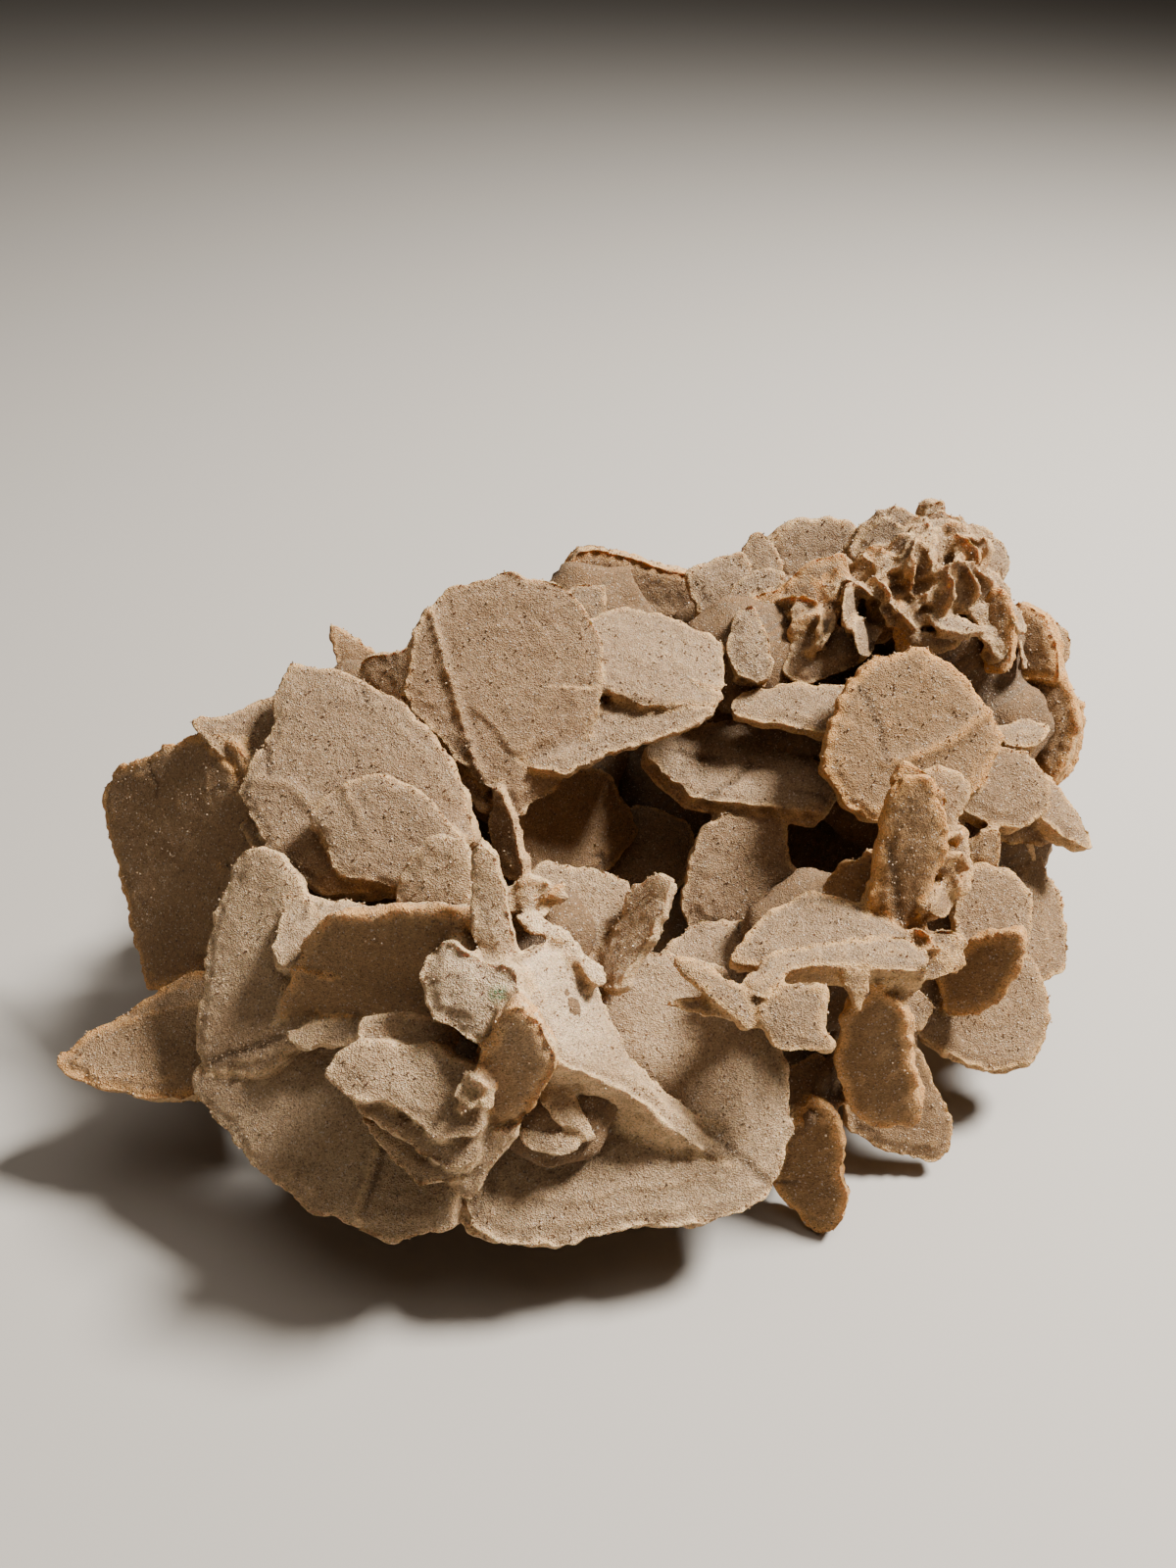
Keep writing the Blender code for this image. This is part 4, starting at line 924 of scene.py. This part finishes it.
RIGHT_BACK_BLADES = [
    # The broad face on the right, the lobe and the spike below it, and the tongue to its left.
    Blade((92, 20, 103), 5, 40, 8, (
        (-26, -7), (-22, 6), (-17, 16), (-10, 22), (5, 25), (13, 19), (22, 8), (27, -3),
        (21, -16), (8, -24), (-12, -25), (-22, -18))),
    Blade((120, 14, 88), 10, 42, 7, (
        (-14, 5), (0, 12), (9, 9), (14, 0), (13, -8), (3, -13), (-6, -10), (-14, -5))),
    Blade((138, 15, 78), 35, 50, 7, ((2, 12), (6, 5), (7, -9), (4, -15), (-4, -8), (-8, 3))),
    Blade((130, 14, 72), 20, 20, 7, ((-15, 7), (5, 2), (16, -7), (4, -6), (-10, -1))),
    Blade((61, 34, 102), 0, 60, 7, (
        (-20, 0), (-15, 5), (0, 8), (18, 7), (20, -5), (8, -9), (-4, -7), (-16, -4))),
    Blade((63, 32, 82), -20, 30, 7, (
        (-13, 7), (-8, 12), (9, 14), (11, -12), (-2, -6), (-12, -1))),
    Blade((114, 1, 76), 0, 20, 7, ((-5, 0), (-1, 6), (4, 6), (5, -5), (-3, -6))),
    # The nested rims that curve round the pocket at the right.
    Blade((123, 53, 117), -45, 22, 6, (
        (-9, 3), (-8, 9), (-4, 13), (1, 10), (6, 3), (8, -5), (8, -10), (2, -13), (-5, 0))),
    Blade((136, 61, 102), -42, 26, 8, (
        (-9, 4), (-9, 16), (1, 16), (7, 11), (12, 3), (14, -3), (4, -4), (0, -13), (-6, -16))),
    Blade((141, 48, 86), -38, 28, 8, (
        (-15, -5), (-12, 6), (-8, 13), (-4, 19), (3, 18), (8, 11), (12, 4), (13, -6), (11, -16),
        (-1, -10), (-9, -10))),
    Blade((150, 49, 81), 10, 30, 7, (
        (0, 16), (3, 15), (7, 10), (7, 2), (4, -7), (-3, -16), (-8, -14), (-1, -4))),
    Blade((151, 74, 100), 0, 30, 7, (
        (-5, 7), (-1, 8), (3, 5), (5, 0), (4, -5), (1, -8), (-4, -6))),
    Blade((130, 34, 92), 10, 60, 8, ((-9, 3), (2, 5), (10, 1), (4, -5), (-6, -5))),
]

RIGHT_BACK_MARKS = [
    # The crust band across the broad face, and the crack that meets it.
    Mark(0, 2.4, 1.3, ((23, 5), (14, -1), (6, -5), (-2, -8), (-8, -8))),
    Mark(0, 0.9, -0.8, ((-14, 14), (-9, 2), (-8, -8))),
]

right_back_blades = grow("right_back_blades", RIGHT_BACK_BLADES, orange_gypsum, BLADE_CELL,
                         random.Random(5), RIGHT_BACK_MARKS, clear=(0, 7, 8, 9, 10))


# ---- The crest -------------------------------------------
# The slab and the fan at the back, and the dense rosette of small blades on the highest corner.
# The small blades are only two or three millimetres thick and full of sand.

CREST_BLADES = [
    # The thick slab at the back and the fan of blades beside it.
    Blade((22, 87, 106), 15, 8, 9, (
        (-30, 17), (-26, 23), (-20, 23), (12, 10), (31, 2), (30, -15), (11, -23), (-17, -12),
        (-29, 4)), 0.85),
    Blade((0, 62, 121), 0, 40, 6, ((-7, 2), (-3, 6), (5, 6), (6, -3), (0, -7), (-6, -4))),
    Blade((43, 76, 117), 5, 35, 6, ((-12, 7), (-2, 12), (6, 13), (11, 3), (5, -12), (-8, -9))),
    Blade((56, 90, 118), 10, 25, 6, ((-8, 0), (-4, 11), (1, 12), (5, 8), (8, -4), (-3, -12))),
    Blade((75, 99, 118), 5, 22, 6, (
        (-16, 6), (-8, 12), (4, 13), (13, 9), (16, -5), (3, -14), (-13, -9))),
    Blade((51, 67, 120), -20, 45, 7, ((-9, -5), (-7, 3), (-1, 10), (8, 10), (9, 2), (-2, -10))),
    Blade((62, 60, 119), -8, 32, 7, (
        (-13, 3), (-3, 9), (6, 17), (14, 20), (18, 8), (12, -4), (-5, -16), (-16, -14),
        (-17, -3))),
    Blade((48, 46, 117), 0, 40, 9, ((-7, -2), (-4, 9), (1, 11), (6, 0), (6, -12), (-4, -11))),
    Blade((74, 49, 111), 0, 35, 8, ((-16, -5), (-12, 4), (9, 10), (16, 8), (10, -1), (-8, -9))),
    # The rosette of small blades on the highest corner.
    Blade((94, 84, 131), -15, 35, 6, (
        (-12, -5), (-11, 2), (-4, 10), (6, 10), (12, 8), (13, -2), (2, -12), (-8, -10))),
    Blade((111, 84, 132), 0, 25, 6, ((-10, 5), (-4, 9), (8, 6), (10, -3), (0, -11), (-8, -6))),
    Blade((122, 74, 131), 20, 30, 6, ((-5, 11), (3, 8), (9, -3), (6, -8), (-5, -10), (-9, 1))),
    Blade((110, 92, 136), 0, 20, 7, ((-4, -9), (-4, 2), (-1, 5), (3, 4), (4, -8))),
    Blade((91, 66, 132), -50, 30, 4, ((-11, 1), (-5, 5), (2, 2), (10, 0), (11, -4), (-3, -4))),
    Blade((84, 66, 125), -30, 20, 5, ((-4, 2), (-3, 7), (0, 8), (3, 2), (4, -7), (1, -9))),
    Blade((96, 71, 134), -35, 25, 5, ((-5, 0), (-3, 5), (1, 6), (4, 2), (4, -4), (-1, -5))),
    Blade((109, 77, 137), 0, 50, 5, ((-12, -1), (-9, 3), (0, 5), (9, 2), (12, -2), (0, -3))),
    Blade((105, 68, 136), 70, 20, 4, ((-12, 3), (0, 5), (13, 1), (7, -7))),
    Blade((119, 70, 135), -60, 20, 5, ((1, -6), (-3, 2), (0, 5), (3, 2), (4, -5))),
    Blade((116, 64, 126), 20, 50, 8, ((-8, 6), (-1, 7), (7, 5), (9, -1), (4, -6), (-4, -6))),
    Blade((102, 54, 124), -8, 38, 5, ((-7, 4), (-5, 6), (2, 7), (7, 2), (6, -3), (-6, -6))),
    Blade((109, 48, 122), 8, 60, 4, ((-9, 3), (-7, 5), (0, 3), (9, -3), (1, -4), (-5, -2))),
    Blade((103, 48, 116), 0, 20, 5, ((-9, 4), (-1, 3), (10, 4), (7, -1), (1, -3), (-7, -1))),
    Blade((94, 51, 118), -15, 10, 5, ((-3, 2), (-2, 7), (1, 7), (3, 0), (2, -8), (-1, -7))),
    Blade((76, 70, 121), -40, 20, 5, ((-1, -12), (-5, 3), (-3, 12), (1, 12), (5, 2), (5, -10))),
    Blade((82, 66, 123), -40, 22, 5, ((-2, -12), (-5, 2), (-3, 12), (2, 11), (5, 1), (4, -10))),
    Blade((89, 59, 120), -40, 25, 5, ((-3, -10), (-5, 3), (-2, 10), (3, 9), (6, 1), (3, -7))),
]

# What grew by chance: six middling blades, and three tufts of small ones.
growth = random.Random(41)
crest_tufts = []
for _ in range(6):
    at = [middle + spread * growth.uniform(-1, 1)
          for middle, spread in zip((106, 70, 127), (15, 13, 8))]
    crest_tufts.append(Blade(at, growth.uniform(-90, 90), growth.uniform(-10, 60), 3.5,
                             grown_outline(growth, 9, 6)))
small_chance = random.Random(17)
crest_tufts += tuft(small_chance, 58, (104, 69, 122), (18, 16, 14), (4.5, 8))
crest_tufts += tuft(small_chance, 30, (80, 60, 117), (18, 12, 11), (4, 7.5))
crest_tufts += tuft(small_chance, 12, (126, 56, 108), (7, 8, 14), (4, 6))

dusty_gypsum = sandy_gypsum("dusty_gypsum", (0.43, 0.29, 0.172), (0.31, 0.195, 0.108),
                            (0.33, 0.20, 0.10), (0.72, 0.46, 0.22))
CREST_CELL = 0.8
crest = grow("crest", CREST_BLADES + crest_tufts, dusty_gypsum, CREST_CELL, random.Random(6),
             clear=(0, 6, 13, 23))


# ---- The blades at the back ------------------------------
# Three tiers of blades that grew towards the back, each turned aside from its neighbours.
# They are the same sandy gypsum, and the lowest ones are rooted in the core.

MIDDLE = (6.0, 22.0)                       # the rose's middle, seen from above
BACK_CELL = 1.6
FIRST_TURN, WHOLE_TURN = -96, 192          # the tiers run round the back from side to side
# Each tier: its count and height, its reach to the side and to the back, and its blades'
# radius and lean.
BACK_TIERS = ((8, 26, 106, 60, 28, 10), (9, 52, 112, 70, 27, 26), (7, 80, 92, 62, 23, 44))

back_blades = []
for count, height, across, deep, radius, lean in BACK_TIERS:
    for index in range(count):
        share = (index + growth.uniform(0.3, 0.7)) / count
        around = FIRST_TURN + share * WHOLE_TURN
        angle = math.radians(around)
        at = (MIDDLE[0] + across * math.sin(angle), MIDDLE[1] + deep * math.cos(angle),
              height + growth.uniform(-7, 7))
        turn = 180 - around + (-1) ** index * growth.uniform(20, 55)
        back_blades.append(Blade(at, turn, lean + growth.uniform(-14, 14),
                                 growth.uniform(6, 8),
                                 grown_outline(growth, radius * growth.uniform(0.8, 1.15), 8)))
grow("back_blades", back_blades, brown_gypsum, BACK_CELL, random.Random(7))


# ---- The feet --------------------------------------------
# Thick blades that stand nearly upright under the rose, cut off flat where it rests.

FEET, FOOT_HEIGHT, FOOT_THICKNESS, FOOT_RADIUS = 9, 18, 12, 26
FEET_ACROSS, FEET_DEEP = 80, 46            # how far out the ring of feet reaches
FOOT_CELL = 2.0

feet = []
for index in range(FEET):
    angle = math.tau * (index + growth.uniform(-0.2, 0.2)) / FEET
    at = (MIDDLE[0] + FEET_ACROSS * math.cos(angle), MIDDLE[1] + FEET_DEEP * math.sin(angle),
          FOOT_HEIGHT)
    turn = math.degrees(angle) + 90 + growth.uniform(-50, 50)
    feet.append(Blade(at, turn, growth.uniform(-12, 12), FOOT_THICKNESS,
                      grown_outline(growth, FOOT_RADIUS, 7)))
grow("feet", feet, brown_gypsum, FOOT_CELL, random.Random(8))


# ---- The loose sand --------------------------------------
# Grains of quartz sand that cling to the blades, most of them where a blade looks up and in the
# creases. They are hard clear to dark brown crystals, each about half a millimetre across.

GRAINS = 11000
GRAIN_RADIUS = (0.22, 0.42)
TIPS = 6                                   # each grain is a squashed octahedron
grain_chance = np.random.default_rng(23)
places, looks, weights = [], [], []
for piece in (front_rosette, left_blades, middle_blades, right_rosette, right_back_blades, crest):
    points, normals = read_surface(piece)
    crease = np.empty(len(points), dtype=np.float32)
    piece.data.attributes["hollow"].data.foreach_get("value", crease)
    places.append(points)
    looks.append(normals)
    weights.append(np.clip(normals[:, 2], 0.05, 1) * (1 + 5 * np.clip(crease, 0, 1)))
places, looks, weights = np.vstack(places), np.vstack(looks), np.concatenate(weights)
chosen = grain_chance.choice(len(places), GRAINS, replace=False, p=weights / weights.sum())
radius = grain_chance.uniform(*GRAIN_RADIUS, (GRAINS, 1, 1))
centre = places[chosen] + looks[chosen] * 0.12 + grain_chance.uniform(-0.3, 0.3, (GRAINS, 3))
spin = np.linalg.qr(grain_chance.normal(size=(GRAINS, 3, 3)))[0]
squash = grain_chance.uniform(0.7, 1.2, (GRAINS, TIPS, 1))
tips = np.concatenate((spin, -spin), axis=1) * radius * squash
corners = (centre[:, None, :] + tips).reshape(-1, 3)
sides = [(a, b, c) for a in (0, 3) for b in (1, 4) for c in (2, 5)]
faces = (np.arange(GRAINS)[:, None, None] * TIPS + np.array(sides)).reshape(-1, 3)
sand_mesh = bpy.data.meshes.new("loose_sand")
sand_mesh.from_pydata((corners * MM).tolist(), [], faces.tolist())
shaping = bmesh.new()
shaping.from_mesh(sand_mesh)
bmesh.ops.recalc_face_normals(shaping, faces=shaping.faces)
shaping.to_mesh(sand_mesh)
shaping.free()
loose_sand = placed("loose_sand", sand_mesh)
store(loose_sand, "shade", np.repeat(grain_chance.random(GRAINS), TIPS))

quartz = bpy.data.materials.new("quartz_sand")
quartz.use_nodes = True
quartz_tree = quartz.node_tree
quartz_shader = quartz_tree.nodes["Principled BSDF"]
shade = sand_node(quartz_tree, "ShaderNodeAttribute", (("attribute_name", "shade"),))
ramp = sand_node(quartz_tree, "ShaderNodeValToRGB", Fac=shade.outputs["Fac"])
ramp.color_ramp.elements[0].color = (0.09, 0.05, 0.03, 1.0)
ramp.color_ramp.elements[1].color = (0.60, 0.45, 0.30, 1.0)
ramp.color_ramp.elements.new(0.35).color = (0.46, 0.29, 0.15, 1.0)
flecks = sand_node(quartz_tree, "ShaderNodeTexNoise", Scale=1 / (0.3 * MM), Detail=2.0,
                   Vector=quartz_tree.nodes.new("ShaderNodeTexCoord").outputs["Object"])
polish = sand_node(quartz_tree, "ShaderNodeMapRange", Value=flecks.outputs["Fac"], _3=0.2,
                   _4=0.75)
chips = sand_node(quartz_tree, "ShaderNodeBump", Strength=0.4, Distance=0.05 * MM,
                  Height=flecks.outputs["Fac"])
for value, name in ((ramp.outputs["Color"], "Base Color"), (polish.outputs["Result"], "Roughness"),
                    (chips.outputs["Normal"], "Normal")):
    quartz_tree.links.new(value, quartz_shader.inputs[name])
sand_mesh.materials.append(quartz)
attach(loose_sand, "root")
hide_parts("sand_rose")


# ---- Floor, light and camera -----------------------------
# A plain pale floor to stand on, one small soft light high on the right and a wide weak one
# above. The camera looks down on the rose from the front.

FLOOR_REACH = 6
floor_mesh = bpy.data.meshes.new("floor")
floor_mesh.from_pydata([(x * FLOOR_REACH, y * FLOOR_REACH, 0)
                        for x, y in ((-1, -1), (1, -1), (1, 1), (-1, 1))], [], [(0, 1, 2, 3)])
floor_paint = bpy.data.materials.new("pale_floor")
floor_paint.use_nodes = True
floor_shader = floor_paint.node_tree.nodes["Principled BSDF"]
floor_shader.inputs["Base Color"].default_value = (0.50, 0.47, 0.43, 1.0)
floor_shader.inputs["Roughness"].default_value = 0.8
floor_mesh.materials.append(floor_paint)
placed("floor", floor_mesh)

world = bpy.data.worlds.new("studio")
world.use_nodes = True
glow = world.node_tree.nodes["Background"]
glow.inputs["Color"].default_value = (1.0, 0.84, 0.68, 1.0)
glow.inputs["Strength"].default_value = 0.035
bpy.context.scene.world = world


def softbox(name, place, size, power, colour):
    """A round soft light that points at the middle of the rose."""
    light = bpy.data.lights.new(name, "AREA")
    light.shape = "DISK"
    light.size, light.energy, light.color = size, power, colour
    lamp = placed(name, light)
    lamp.location = place
    lamp.rotation_euler = (Vector((0, 0, 0.07)) - Vector(place)).to_track_quat("-Z", "Y").to_euler()


softbox("window", (0.80, 0.20, 1.20), 0.36, 62, (1.0, 0.965, 0.91))
softbox("ceiling", (0.0, 0.2, 1.7), 1.5, 7, (1.0, 0.90, 0.80))

camera_data = bpy.data.cameras.new("camera")
camera_data.lens, camera_data.sensor_width = 28, 36
camera = placed("camera", camera_data)
camera.location = (-0.0049, -0.2726, 0.307)
camera.rotation_euler = (math.radians(52), 0, 0)
bpy.context.scene.camera = camera
